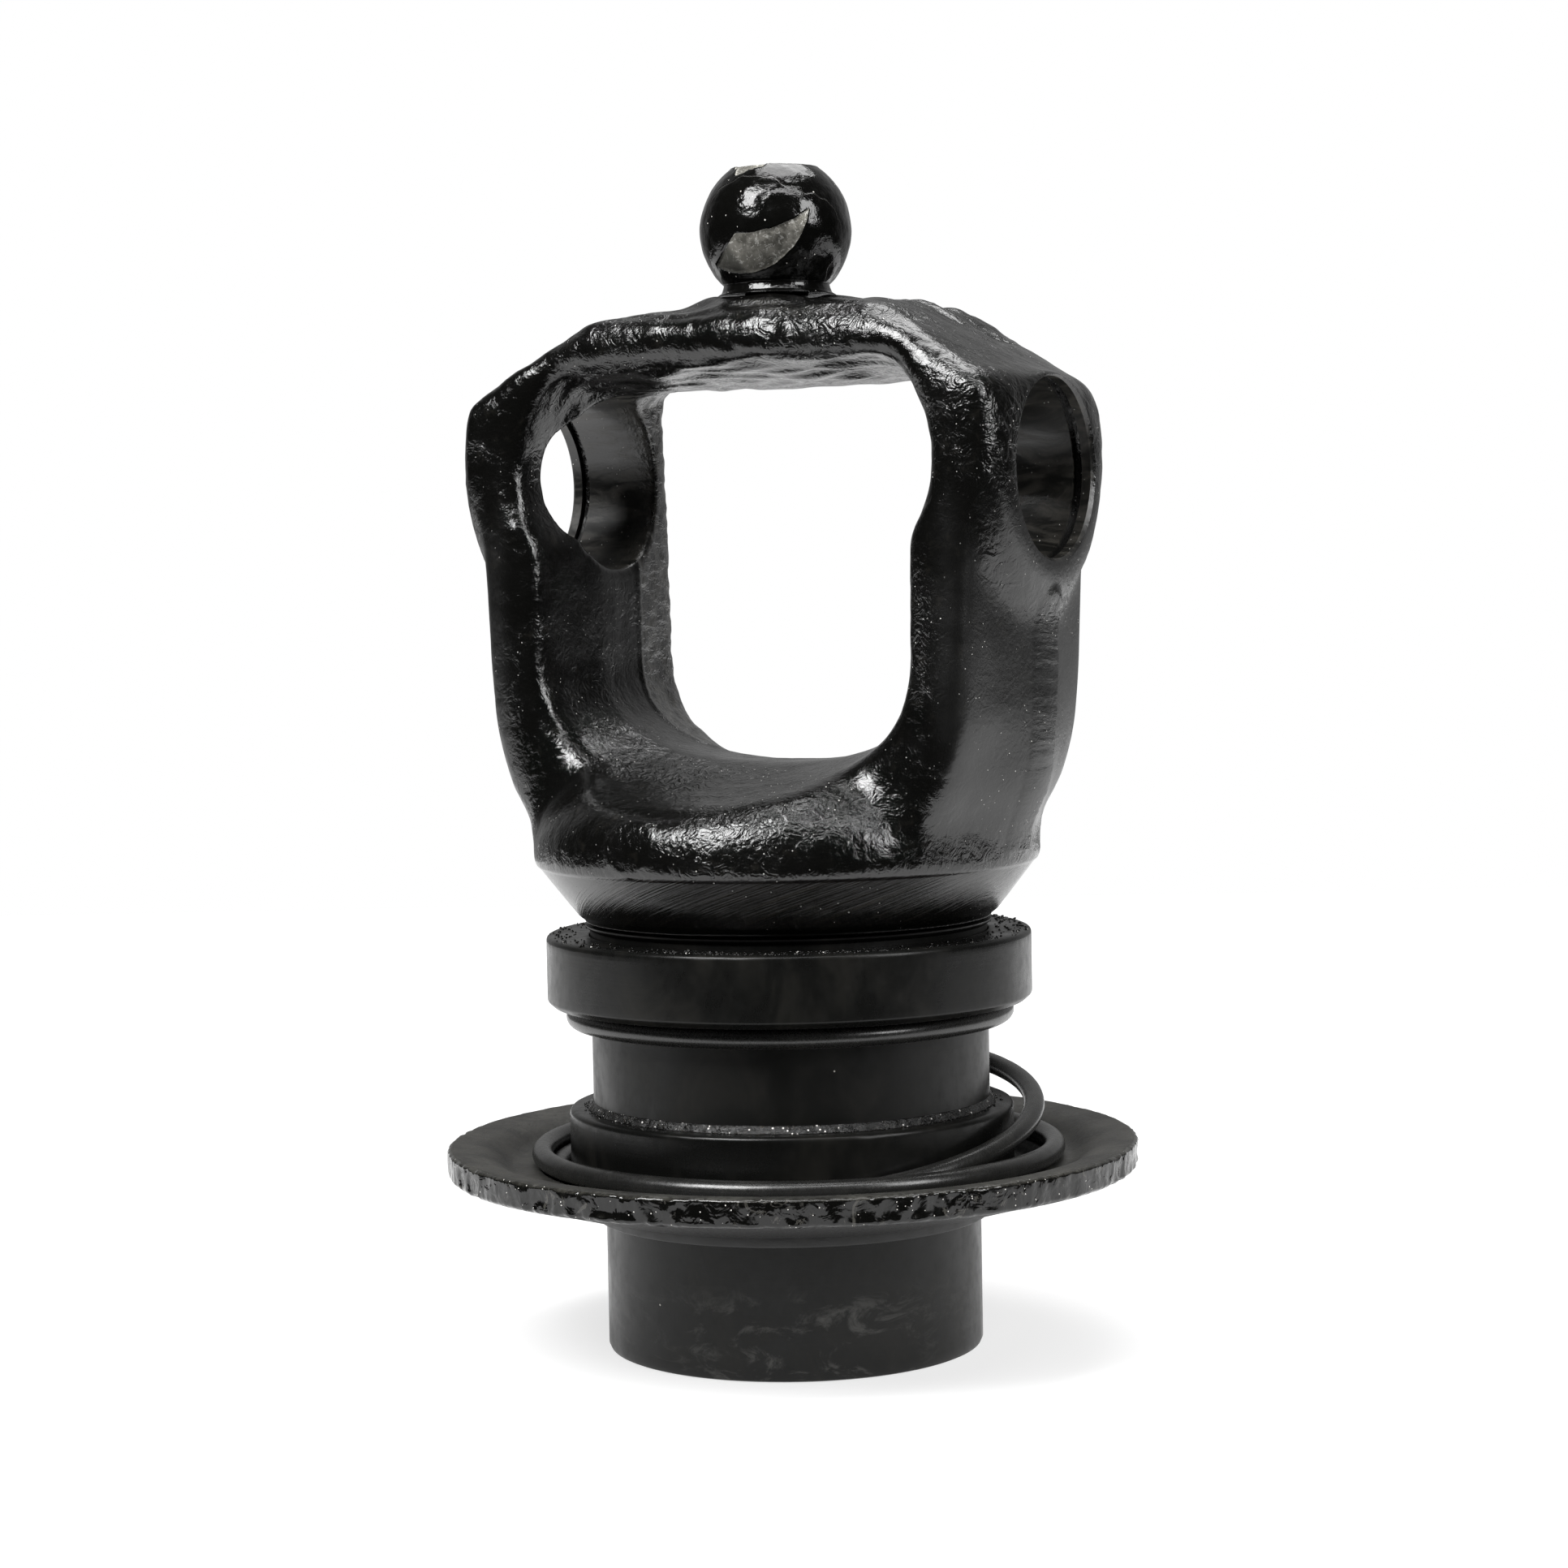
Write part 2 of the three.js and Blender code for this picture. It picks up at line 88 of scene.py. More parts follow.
# The camera stands where the pictured view was taken from: lengths in metres.
CAMERA_AZIMUTH = math.radians(29.143)
CAMERA_DISTANCE = 0.93255
CAMERA_HEIGHT = 0.21057
CAMERA_YAW = math.radians(0.034)
CAMERA_PITCH = math.radians(3.383)
CAMERA_ROLL = math.radians(-1.072)
CAMERA_LENS_MM = 77.54


# ---------- meshes ----------

def link(piece):
    bpy.context.scene.collection.objects.link(piece)


def on_circle(radius, angle, z):
    return (radius * math.cos(angle), radius * math.sin(angle), z)


def wrapped(angle):
    """The same angle, between minus and plus half a turn."""
    return (angle + math.pi) % math.tau - math.pi


def add_object(name, points, faces):
    """A smooth-shaded mesh object from points in millimetres."""
    mesh = bpy.data.meshes.new(name)
    mesh.from_pydata((np.asarray(points, float) * MM).tolist(), [], faces)
    mesh.validate()
    mesh.update()
    mesh.shade_smooth()
    piece = bpy.data.objects.new(name, mesh)
    link(piece)
    return piece


def add_solid(name, points, faces):
    """A closed mesh object whose faces all look outward."""
    piece = add_object(name, points, faces)
    work = bmesh.new()
    work.from_mesh(piece.data)
    bmesh.ops.recalc_face_normals(work, faces=work.faces)
    work.to_mesh(piece.data)
    work.free()
    return piece


def rounded(profile, steps=5):
    """A profile of (radius, z, fillet) corners with each corner turned into a curve."""
    count = len(profile)
    outline = []
    for index, (radius, z, fillet) in enumerate(profile):
        here = Vector((radius, z))
        before = Vector(profile[index - 1][:2]) - here
        after = Vector(profile[(index + 1) % count][:2]) - here
        reach = min(fillet, before.length * 0.45, after.length * 0.45)
        if reach <= 0:
            outline.append(here)
            continue
        start = here + before.normalized() * reach
        end = here + after.normalized() * reach
        for step in range(steps + 1):
            t = step / steps
            outline.append(start * (1 - t) ** 2 + here * (2 * t * (1 - t)) + end * t ** 2)
    return outline


def divided(outline, longest):
    """The closed outline with its long stretches split into even steps."""
    points = []
    for index, here in enumerate(outline):
        after = outline[(index + 1) % len(outline)]
        steps = max(1, math.ceil((after - here).length / longest))
        points += [here.lerp(after, step / steps) for step in range(steps)]
    return points


def lathe(name, profile, segments=224, longest=2.0, skin=None):
    """A ring about Z from a closed profile. skin(angle, radius, z) gives how far a point moves outward."""
    outline = divided(rounded(profile), longest)
    count = len(outline)
    points = []
    for turn in range(segments):
        angle = math.tau * turn / segments
        for radius, z in outline:
            if skin:
                radius += skin(angle, radius, z)
            points.append(on_circle(radius, angle, z))
    faces = []
    for turn in range(segments):
        here, after = turn * count, (turn + 1) % segments * count
        for i in range(count):
            j = (i + 1) % count
            faces.append((here + i, here + j, after + j, after + i))
    return add_solid(name, points, faces)


def tube_ring(name, radius_at, height_at, tube_r, steps=320, sides=28, skin=None):
    """A rubber ring of round section along a closed path about Z."""
    points = []
    for step in range(steps):
        angle = math.tau * step / steps
        for side in range(sides):
            turn = math.tau * side / sides
            thick = tube_r + (skin(angle, turn) if skin else 0)
            radius = radius_at(angle) + thick * math.cos(turn)
            z = height_at(angle) + thick * math.sin(turn)
            points.append(on_circle(radius, angle, z))
    faces = []
    for step in range(steps):
        here, after = step * sides, (step + 1) % steps * sides
        for side in range(sides):
            next_side = (side + 1) % sides
            faces.append((here + side, after + side, after + next_side, here + next_side))
    return add_solid(name, points, faces)


def bumps(point, wavelength, seed=0.0):
    """Smooth noise from -1 to 1 at a point in millimetres."""
    return noise.noise(Vector(point) / wavelength + Vector((seed, seed * 1.7, -seed)))


def smoothstep(low, high, value):
    t = np.clip((value - low) / (high - low), 0, 1)
    return t * t * (3 - 2 * t)


def read_points(mesh):
    points = np.empty(len(mesh.vertices) * 3)
    mesh.vertices.foreach_get("co", points)
    return points.reshape(-1, 3) / MM


def read_normals(mesh):
    return np.array([vertex.normal for vertex in mesh.vertices])


def write_points(mesh, points):
    mesh.vertices.foreach_set("co", (points * MM).ravel())
    mesh.update()


def shade(piece, sharpest_deg):
    """Smooth shading, broken only where faces meet at more than the given angle."""
    piece.data.shade_smooth()
    piece.data.set_sharp_from_angle(angle=math.radians(sharpest_deg))


def apply_modifier(piece, kind, **settings):
    modifier = piece.modifiers.new(kind.lower(), kind)
    for name, value in settings.items():
        setattr(modifier, name, value)
    graph = bpy.context.evaluated_depsgraph_get()
    made = bpy.data.meshes.new_from_object(piece.evaluated_get(graph))
    piece.modifiers.clear()
    old = piece.data
    piece.data = made
    bpy.data.meshes.remove(old)


def cut(piece, cutter):
    """Cuts another closed object out of piece and removes it."""
    apply_modifier(piece, "BOOLEAN", object=cutter, operation="DIFFERENCE", solver="MANIFOLD")
    bpy.data.objects.remove(cutter)


def add_to(piece, other):
    """Puts another object's mesh into piece, as an overlapping shell, and removes the object."""
    work = bmesh.new()
    work.from_mesh(piece.data)
    work.from_mesh(other.data)
    work.to_mesh(piece.data)
    work.free()
    bpy.data.objects.remove(other)


def spun_solid(name, profile, segments, longest=3.0):
    """A closed solid about Z from (radius, z) pairs that start and end on the axis."""
    outline = []
    for (r0, z0), (r1, z1) in zip(profile, profile[1:]):
        steps = max(1, math.ceil(math.hypot(r1 - r0, z1 - z0) / longest))
        outline += [(r0 + (r1 - r0) * s / steps, z0 + (z1 - z0) * s / steps) for s in range(steps)]
    outline = outline[1:]
    points = [(0, 0, profile[0][1]), (0, 0, profile[-1][1])]
    count = len(outline)
    for turn in range(segments):
        angle = math.tau * turn / segments
        points += [on_circle(radius, angle, z) for radius, z in outline]
    faces = []
    for turn in range(segments):
        here, after = 2 + turn * count, 2 + (turn + 1) % segments * count
        faces.append((0, here, after))
        faces.append((1, after + count - 1, here + count - 1))
        faces += [(here + i, here + i + 1, after + i + 1, after + i) for i in range(count - 1)]
    return add_solid(name, points, faces)


# ---------- yoke forging ----------

VOXEL = 1.0
SMOOTH_ROUNDS = 120
# The window's wall is smooth in front of this y and sheared behind it, with a burr between.
PARTING_Y = 10


def smooth_forging(points, edges, weight):
    """Moves each point towards its neighbours' middle, more where weight is higher."""
    count = len(points)
    ends = np.concatenate([edges[:, 0], edges[:, 1]])
    others = np.concatenate([edges[:, 1], edges[:, 0]])
    degree = np.maximum(np.bincount(ends, minlength=count), 1)
    for _ in range(SMOOTH_ROUNDS):
        mean = np.stack(
            [np.bincount(ends, points[others, axis], count) / degree for axis in range(3)], axis=1)
        points = points + (mean - points) * (0.5 * weight)[:, None]
    return points


def bore_distance(points):
    """How far points lie from the axis of the cross bores."""
    return np.hypot(points[:, 1], points[:, 2] - BORE_Z)


def forging_weight(points):
    """How strongly the forging's edges round off: least on machined faces and inside the window."""
    x, y, z = np.abs(points[:, 0]), np.abs(points[:, 1]), points[:, 2]
    from_bore = bore_distance(points)
    near_bore = (1 - smoothstep(25, 30, from_bore)) * smoothstep(46, 52, x)
    window = (1 - smoothstep(20, 34, y)) * (1 - smoothstep(54, 64, x)) * smoothstep(158, 166, z)
    weight = 0.12 + 0.88 * smoothstep(136, 141, z)
    weight *= 1 - 0.94 * window * (1 - smoothstep(262, 268, z))
    weight *= 1 - 0.9 * near_bore
    return np.clip(weight, 0.08, 1)


def wrinkles(point, wavelength, seed):
    """Rounded swellings with sharp valleys between them, as thick paint dries on a rounded edge."""
    bend = Vector((bumps(point, 9, seed + 1), bumps(point, 9, seed + 2), bumps(point, 9, seed + 3)))
    return abs(bumps(Vector(point) + bend * 2, wavelength, seed)) - 0.2


def window_inside(points):
    """1 on the window's own walls and 0 on the outer faces."""
    x, y = np.abs(points[:, 0]), np.abs(points[:, 1])
    return (1 - smoothstep(54, 60, x)) * (1 - smoothstep(30, 36, y))


def under_boss(points):
    """1 along the fillet under each ear's boss."""
    x, z = np.abs(points[:, 0]), points[:, 2]
    from_bore = bore_distance(points)
    return np.exp(-((from_bore - 36) / 4.5) ** 2) * smoothstep(60, 68, x) * (1 - smoothstep(222, 234, z))


def forging_skin(points, rounding):
    """Height of the rough forged skin over the smooth shape, rougher where an edge was rounded off."""
    x, z = np.abs(points[:, 0]), points[:, 2]
    edge = smoothstep(0.3, 1.6, rounding) * (0.45 + 0.55 * smoothstep(168, 185, z))
    from_bore = bore_distance(points)
    machined = (1 - smoothstep(24.5, 28, from_bore)) * smoothstep(46, 52, x)
    flank = smoothstep(66, 72, x) * (1 - smoothstep(225, 245, z))
    shear = smoothstep(9, 12, points[:, 1]) * (1 - smoothstep(58, 66, x))
    inner = window_inside(points)
    ceiling = inner * smoothstep(254, 260, z)
    on_bridge = smoothstep(256, 266, z) * (1 - inner)
    boss = under_boss(points)
    rough = (1 - 0.75 * flank) * (1 - 0.92 * machined) * smoothstep(135, 139, z)
    height = np.empty(len(points))
    for i, point in enumerate(points):
        broad = bumps(point, 26, 3.1) * 0.32 + bumps(point, 11, 7.7) * 0.2
        fine = bumps(point, 4.6, 1.3) * 0.1 + bumps(point, 2.2, 9.2) * 0.04
        height[i] = broad * (0.8 + 0.6 * on_bridge[i]) + fine * (1.25 - 0.5 * inner[i])
        if edge[i] > 0.01:
            height[i] += edge[i] * (0.6 * wrinkles(point, 9.5, 2.4) + 0.12 * wrinkles(point, 4.5, 8.8))
        if ceiling[i] > 0.01:
            height[i] += ceiling[i] * 1.1 * bumps((point[0] * 0.3, point[1], point[2] * 0.3), 3.8, 6.6)
        if boss[i] > 0.01:
            height[i] += boss[i] * (1.6 * wrinkles(point, 7.0, 5.1) + 0.5 * wrinkles(point, 3.4, 1.9))
        if shear[i] > 0.01:
            stretched = (point[0] * 0.42, point[1] * 0.42, point[2])
            height[i] += shear[i] * 0.4 * bumps(stretched, 2.4, 5.5)
    burr = np.exp(-((points[:, 1] - PARTING_Y) / 0.9) ** 2)
    burr = burr * (1 - smoothstep(53, 57, x)) * (1 - smoothstep(262, 266, z))
    return height * rough + 0.5 * burr * smoothstep(160, 172, z)


def plug_profile():
    """A plug for a cross bore, whose groove and chamfer are cut again when the skin is done."""
    return [(0, 64), (BORE_R + 1.8, 64), (BORE_R + 1.8, EAR_X), (0, EAR_X)]


def turned_to_x(piece, side):
    piece.data.transform(Matrix.Rotation(side * math.pi / 2, 4, "Y"))
    piece.data.transform(Matrix.Translation((0, 0, BORE_Z * MM)))
    return piece


def bore_cutter():
    """The cross bore with its snap-ring grooves and chamfers."""
    groove_x, groove_w, groove_r = 78.5, 2.6, BORE_R + 1.5
    half = [
        (BORE_R, groove_x - groove_w / 2), (groove_r, groove_x - groove_w / 2),
        (groove_r, groove_x + groove_w / 2), (BORE_R, groove_x + groove_w / 2),
        (BORE_R, EAR_X - 1.0), (BORE_R + 3.2, EAR_X + 2.2), (BORE_R + 3.2, EAR_X + 6), (0, EAR_X + 6),
    ]
    mirrored = [(radius, -along) for radius, along in reversed(half)]
    return turned_to_x(spun_solid("bore_cutter", mirrored + half, 192), 1)


def cone_cutter():
    """What the lathe took away outside the machined cone and below the forging."""
    profile = [
        (BASE_R + 30, 110, 0), (NECK_R, 110, 0), (NECK_R, SHAFT_TOP_Z + 1.4, 0.5),
        (CONE_LOW_R, CONE_LOW_Z + 0.2, 0.8), (BASE_R - 2.0, BASE_LOW_Z - 0.6, 0.3),
        (BASE_R - 0.6, BASE_LOW_Z + 0.6, 0.2), (BASE_R + 30, BASE_LOW_Z + 0.6, 0),
    ]
    return lathe("cone_cutter", profile, 288, 3.0)


def block(name, low, high):
    """A closed box between two corners, for cutting."""
    corners = [(x, y, z) for x in (low[0], high[0]) for y in (low[1], high[1]) for z in (low[2], high[2])]
    faces = [(0, 1, 3, 2), (4, 6, 7, 5), (0, 4, 5, 1), (2, 3, 7, 6), (0, 2, 6, 4), (1, 5, 7, 3)]
    return add_solid(name, corners, faces)


# Flash land: the trimmed flash along the outer middle of each arm, flush in front and proud at the back.
LAND_HALF = 6.6
LAND_FRONT = 0.15
LAND_BACK = 1.25
LAND_LOW_Z = 138.0
LAND_TOP_Z = 207.0


def flash_land(points):
    """Height of the land with the shear marks that cross it."""
    height = np.zeros(len(points))
    for i, (x, y, z) in enumerate(points):
        if abs(x) < 55 or abs(y) > 9 or not LAND_LOW_Z < z < LAND_TOP_Z + 4:
            continue
        edge = LAND_HALF + 0.7 * bumps((0, 0, z), 9, 4.4 + math.copysign(1, x))
        top = smoothstep(-2.5, 0, LAND_TOP_Z - 0.09 * y * y - z)
        rise = LAND_FRONT + (LAND_BACK - LAND_FRONT) * (y + LAND_HALF) / (2 * LAND_HALF)
        mark = 0.12 * bumps((0, y * 0.1, z), 2.6, 6.1) + 0.12 * bumps((0, 0, z), 7.0, 3.3)
        height[i] = (rise + mark) * (1 - smoothstep(edge - 0.5, edge + 0.2, abs(y))) * top
    return height


# Recess in the right top facet, a run of paint on the bridge and a round tool mark on the base.
RECESS_MIDDLE = (54.0, 10.5)
RECESS_HALF = (10.5, 8.0)
RECESS_DEPTH = 1.1
DRIP = (20.5, -33.4, 277.0)
MARK_ANGLE = math.radians(262.3)
MARK_Z = 143.3
MARK_R = 7.6


def local_marks(points, normals):
    """Small raised and sunk marks on the forging, as heights along the normals."""
    from_mark = np.linalg.norm(points - np.array(on_circle(BASE_R, MARK_ANGLE, MARK_Z)), axis=1)
    height = 0.3 * np.exp(-((from_mark - MARK_R) / 0.9) ** 2)
    aside = points[:, 1] - RECESS_MIDDLE[1]
    across = np.abs(points[:, 0] - RECESS_MIDDLE[0] + 0.25 * aside) - RECESS_HALF[0]
    along = np.abs(aside) - RECESS_HALF[1]
    outside = np.maximum(across, along)
    top = smoothstep(0.3, 0.6, normals[:, 2]) * (points[:, 2] > 262)
    height -= RECESS_DEPTH * top * (1 - smoothstep(-3.2, 0.6, outside))
    height += 0.12 * top * np.exp(-((outside - 1.6) / 1.3) ** 2)
    from_drip = np.hypot(points[:, 0] - DRIP[0], (points[:, 2] - DRIP[2]) * 0.36)
    height += 0.9 * np.exp(-(from_drip / 0.9) ** 2) * (points[:, 1] < -22)
    return height


def forged_yoke():
    piece = bpy.data.objects.new("forged_yoke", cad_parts["yoke_forging"].data.copy())
    link(piece)
    piece.data.materials.clear()
    for side in (1, -1):
        add_to(piece, turned_to_x(spun_solid("plug", plug_profile(), 64), side))
    apply_modifier(piece, "REMESH", mode="VOXEL", voxel_size=VOXEL * MM, adaptivity=0.0)
    mesh = piece.data
    edges = np.empty(len(mesh.edges) * 2, int)
    mesh.edges.foreach_get("vertices", edges)
    points = read_points(mesh)
    smooth = smooth_forging(points, edges.reshape(-1, 2), forging_weight(points))
    rounding = np.linalg.norm(smooth - points, axis=1)
    points = smooth
    write_points(mesh, points)
    normals = read_normals(mesh)
    height = forging_skin(points, rounding) + local_marks(points, normals) + flash_land(points)
    write_points(mesh, points + normals * height[:, None])
    cut(piece, bore_cutter())
    cut(piece, cone_cutter())
    cut(piece, block("below", (-90, -90, 100), (90, 90, SHAFT_TOP_Z + GAP)))
    hole = [(0, PIN_LOW_Z - GAP), (9, PIN_LOW_Z - GAP), (9, YOKE_TOP_Z + 9), (0, YOKE_TOP_Z + 9)]
    cut(piece, spun_solid("pin_hole", hole, 64))
    shade(piece, 38)
    mark_forging(piece)
    return piece


def set_attribute(mesh, name, values):
    attribute = mesh.attributes.new(name, "FLOAT", "POINT")
    attribute.data.foreach_set("value", np.asarray(values, np.float32))


def mark_forging(piece):
    """Says for each point how satin its paint is, and whether it was bored, turned, sheared or is flash land.

    Chatter is a length across the slanting tool marks on the cone.
    """
    points = read_points(piece.data)
    x, z = np.abs(points[:, 0]), points[:, 2]
    from_bore = bore_distance(points)
    satin = smoothstep(62, 70, x) * (1 - smoothstep(222, 240, z)) * smoothstep(136, 150, z)
    window_walls = window_inside(points) * smoothstep(178, 194, z) * (1 - smoothstep(244, 254, z))
    satin = np.maximum(satin, 0.7 * window_walls)
    satin *= 1 - 0.8 * under_boss(points)
    set_attribute(piece.data, "satin", satin)
    set_attribute(piece.data, "bored", 1 - smoothstep(BORE_R + 0.1, BORE_R + 0.6, from_bore))
    set_attribute(piece.data, "turned", 1 - smoothstep(134.4, 135.2, z))
    behind = smoothstep(PARTING_Y - 0.5, PARTING_Y + 0.5, points[:, 1]) * (1 - smoothstep(56, 62, x))
    set_attribute(piece.data, "shear", behind * (1 - smoothstep(262, 268, z)) * smoothstep(160, 170, z))
    land = (1 - smoothstep(LAND_HALF - 1, LAND_HALF, np.abs(points[:, 1]))) * smoothstep(58, 62, x)
    set_attribute(piece.data, "land", land * (1 - smoothstep(LAND_TOP_Z - 3, LAND_TOP_Z, z)))
    angle = np.arctan2(-points[:, 0], -points[:, 1])
    set_attribute(piece.data, "chatter", (60 * angle + 2.6 * z) * MM)


# ---------- turned pieces ----------

def spline_cutter():
    """The splined bore with its straight-sided teeth, as a closed prism."""
    minor_r, major_r, teeth, depth = 33.0, 36.5, 24, 70.0
    outline = []
    for tooth in range(teeth):
        for radius, part in ((minor_r, -0.3), (major_r, -0.12), (major_r, 0.12), (minor_r, 0.3)):
            outline.append((radius, (tooth + part) * math.tau / teeth))
    count = len(outline)
    points = [on_circle(radius, angle, z) for z in (-5, depth) for radius, angle in outline]
    faces = [tuple(reversed(range(count))), tuple(range(count, 2 * count))]
    faces += [(i, (i + 1) % count, count + (i + 1) % count, count + i) for i in range(count)]
    return add_solid("spline_cutter", points, faces)


def turned_stub():
    """Journal, shoulder and stub in one turning, with the ring grooves and the splined bore."""
    floor_r, half_groove = JOURNAL_R - GROOVE_DEPTH, 2.2
    shoulder_z = HUB_LOW_Z + 7.6
    groove_r = STUB_R - 1.9
    retainer_low = RETAINER_LOW_Z - GAP
    profile = [(0, 0), (STUB_R - 1.4, 0), (STUB_R - 0.5, 0.4), (STUB_R, 1.5), (STUB_R, retainer_low)]
    profile += [(groove_r, retainer_low), (groove_r, HUB_LOW_Z), (STUB_R, HUB_LOW_Z), (STUB_R, shoulder_z)]
    profile += [(JOURNAL_R, shoulder_z)]
    for z in (LOWER_GROOVE_Z, UPPER_GROOVE_Z):
        profile += [(JOURNAL_R, z - half_groove), (floor_r, z - half_groove)]
        profile += [(floor_r, z + half_groove), (JOURNAL_R, z + half_groove)]
    profile += [(JOURNAL_R, SHAFT_TOP_Z - 1.5), (NECK_R - 0.4, SHAFT_TOP_Z - 0.9)]
    profile += [(NECK_R, SHAFT_TOP_Z - 0.4), (NECK_R, SHAFT_TOP_Z), (0, SHAFT_TOP_Z)]
    piece = spun_solid("turned_stub", profile, 288, 2.0)
    relief = [(0, 69), (38.5, 69), (38.5, 79), (34.5, 84), (0, 84)]
    lead_in = [(0, -1), (39, -1), (33, 5), (0, 5)]
    cut(piece, spun_solid("relief", relief, 96))
    cut(piece, spun_solid("lead_in", lead_in, 96))
    cut(piece, spline_cutter())
    shade(piece, 28)
    points = read_points(piece.data)
    wiped = Vector((STUB_R, 0, 14)) @ Matrix.Rotation(math.radians(60), 3, "Z")
    low = 1 - smoothstep(16, 27, points[:, 2])
    away = smoothstep(18, 42, np.linalg.norm(points - wiped, axis=1))
    set_attribute(piece.data, "smudged", low * (1 - 0.75 * away))
    return piece


def collar_profile(outer_r, low_z, top_z, low_fillet):
    bore_r = JOURNAL_R + GAP
    return [
        (bore_r, low_z, 0.4), (outer_r - low_fillet, low_z, 0.5), (outer_r, low_z + low_fillet * 0.9, 0.5),
        (outer_r, top_z, 1.5), (bore_r, top_z, 0.5),
    ]


def worn_edge(edge_z, seed):
    """A skin that nicks a collar's upper edge here and there."""
    def skin(angle, radius, z):
        near = math.exp(-((z - edge_z) / 1.0) ** 2)
        nick = max(0, bumps(on_circle(60, angle, z), 6, seed) - 0.25)
        return -0.5 * near * nick
    return skin


def rim_skin(angle, radius, z):
    """Flame-cut rim: facets and bites into the outer band."""
    on_rim = smoothstep(RIM_R - 2.6, RIM_R - 0.8, radius)
    if on_rim <= 0:
        return 0.0
    point = on_circle(95, angle, z)
    chips = abs(bumps(point, 6.0, 2.2)) * 1.5 + abs(bumps(point, 2.8, 8.1)) * 0.6
    broad = bumps(point, 17, 5.0) * 0.35
    rough_part = 0.35 + 0.65 * smoothstep(-0.15, 0.25, bumps(point, 30, 11.0))
    return float(on_rim * min(0.0, broad - 0.1 - rough_part * chips))


def shield_profile():
    hub_r = STUB_R + GAP
    rim_low = RIM_TOP_Z - 7.7
    step_z, trough_z = RIM_TOP_Z - STEP_DEPTH, RIM_TOP_Z - 9.7
    return [
        (hub_r, HUB_LOW_Z, 0.5), (60, HUB_LOW_Z, 3), (66, HUB_LOW_Z + 1.5, 4), (80, HUB_LOW_Z + 5.5, 5),
        (91, HUB_LOW_Z + 8.5, 4), (RIM_R - 0.9, rim_low, 0.4), (RIM_R, rim_low + 0.8, 0.5),
        (RIM_R, RIM_TOP_Z - 0.6, 0.7), (RIM_R - 1.4, RIM_TOP_Z, 0.8), (86.5, RIM_TOP_Z - 0.9, 3),
        (83, RIM_TOP_Z - 2.4, 2), (79.5, step_z + 0.9, 2), (77.5, step_z, 1), (70.4, step_z, 0.6),
        (69.2, trough_z + 2.2, 0.5), (68.2, trough_z, 0.6), (hub_r, trough_z, 0.5),
    ]


def retaining_ring():
    inner_r = STUB_R - 1.6
    profile = [
        (inner_r, RETAINER_LOW_Z, 0.3), (RETAINER_R, RETAINER_LOW_Z, 0.5),
        (RETAINER_R, RETAINER_TOP_Z, 0.5), (inner_r, RETAINER_TOP_Z, 0.3),
    ]
    piece = lathe("snap_retaining_ring", profile, 288, 1.5)
    gap = block("gap", (-3.5, 45, RETAINER_LOW_Z - 1), (3.5, 60, RETAINER_TOP_Z + 1))
    cut(piece, gap)
    shade(piece, 35)
    return piece


# ---------- ball pin ----------

def seen_from_camera(right, up, toward):
    """A direction given as the camera sees it: to its right, up and toward it."""
    across = Vector((math.cos(CAMERA_AZIMUTH), math.sin(CAMERA_AZIMUTH), 0))
    back = Vector((math.sin(CAMERA_AZIMUTH), -math.cos(CAMERA_AZIMUTH), 0))
    return (across * right + Vector((0, 0, up)) + back * toward).normalized()


# A sheet of paint has flaked off between three planes, each a direction and a distance in ball radii.
BARE_SHEET = [
    (seen_from_camera(0.480, -0.307, -0.821), -0.565),
    (seen_from_camera(-0.269, 0.783, 0.561), 0.53),
    (seen_from_camera(-0.839, 0.544, 0.0), 0.40),
]
# Round flakes: (direction, radius in mm).
FLAKES = [(seen_from_camera(-0.3, 0.86, 0.42), 5.2), (seen_from_camera(0.5, 0.2, -0.8), 7.5),
          (seen_from_camera(-0.8, -0.1, -0.6), 6.0)]
CRACK = (seen_from_camera(0.174, 0.423, -0.889), -0.44)
# The side, as the camera sees it, towards which the bare steel is made darker.
LOWER_LEFT_SIDE = seen_from_camera(-0.8, -0.6, 0.0)


def bare_amount(point):
    """Above 0 where the ball is bare, as a depth in millimetres into the patch."""
    spot = (point - Vector((0, 0, BALL_Z))) / BALL_R
    wobble = 0.9 * bumps(point, 3.2, 4.0) + 0.5 * bumps(point, 1.3, 6.0)
    sheet = min(level - spot.dot(way) for way, level in BARE_SHEET) * BALL_R * 1.5
    flakes = max(radius - (spot - way).length * BALL_R for way, radius in FLAKES)
    return max(sheet + 0.35 * wobble, flakes + 1.6 * wobble)


def crack_distance(point):
    """Signed distance in millimetres from the hairline crack that runs down the right of the ball."""
    spot = (point - Vector((0, 0, BALL_Z))) / BALL_R
    way, level = CRACK
    return (spot.dot(way) - level) * BALL_R + 5 * bumps(point, 16, 2.0) + 1.2 * bumps(point, 3.5, 9.0)


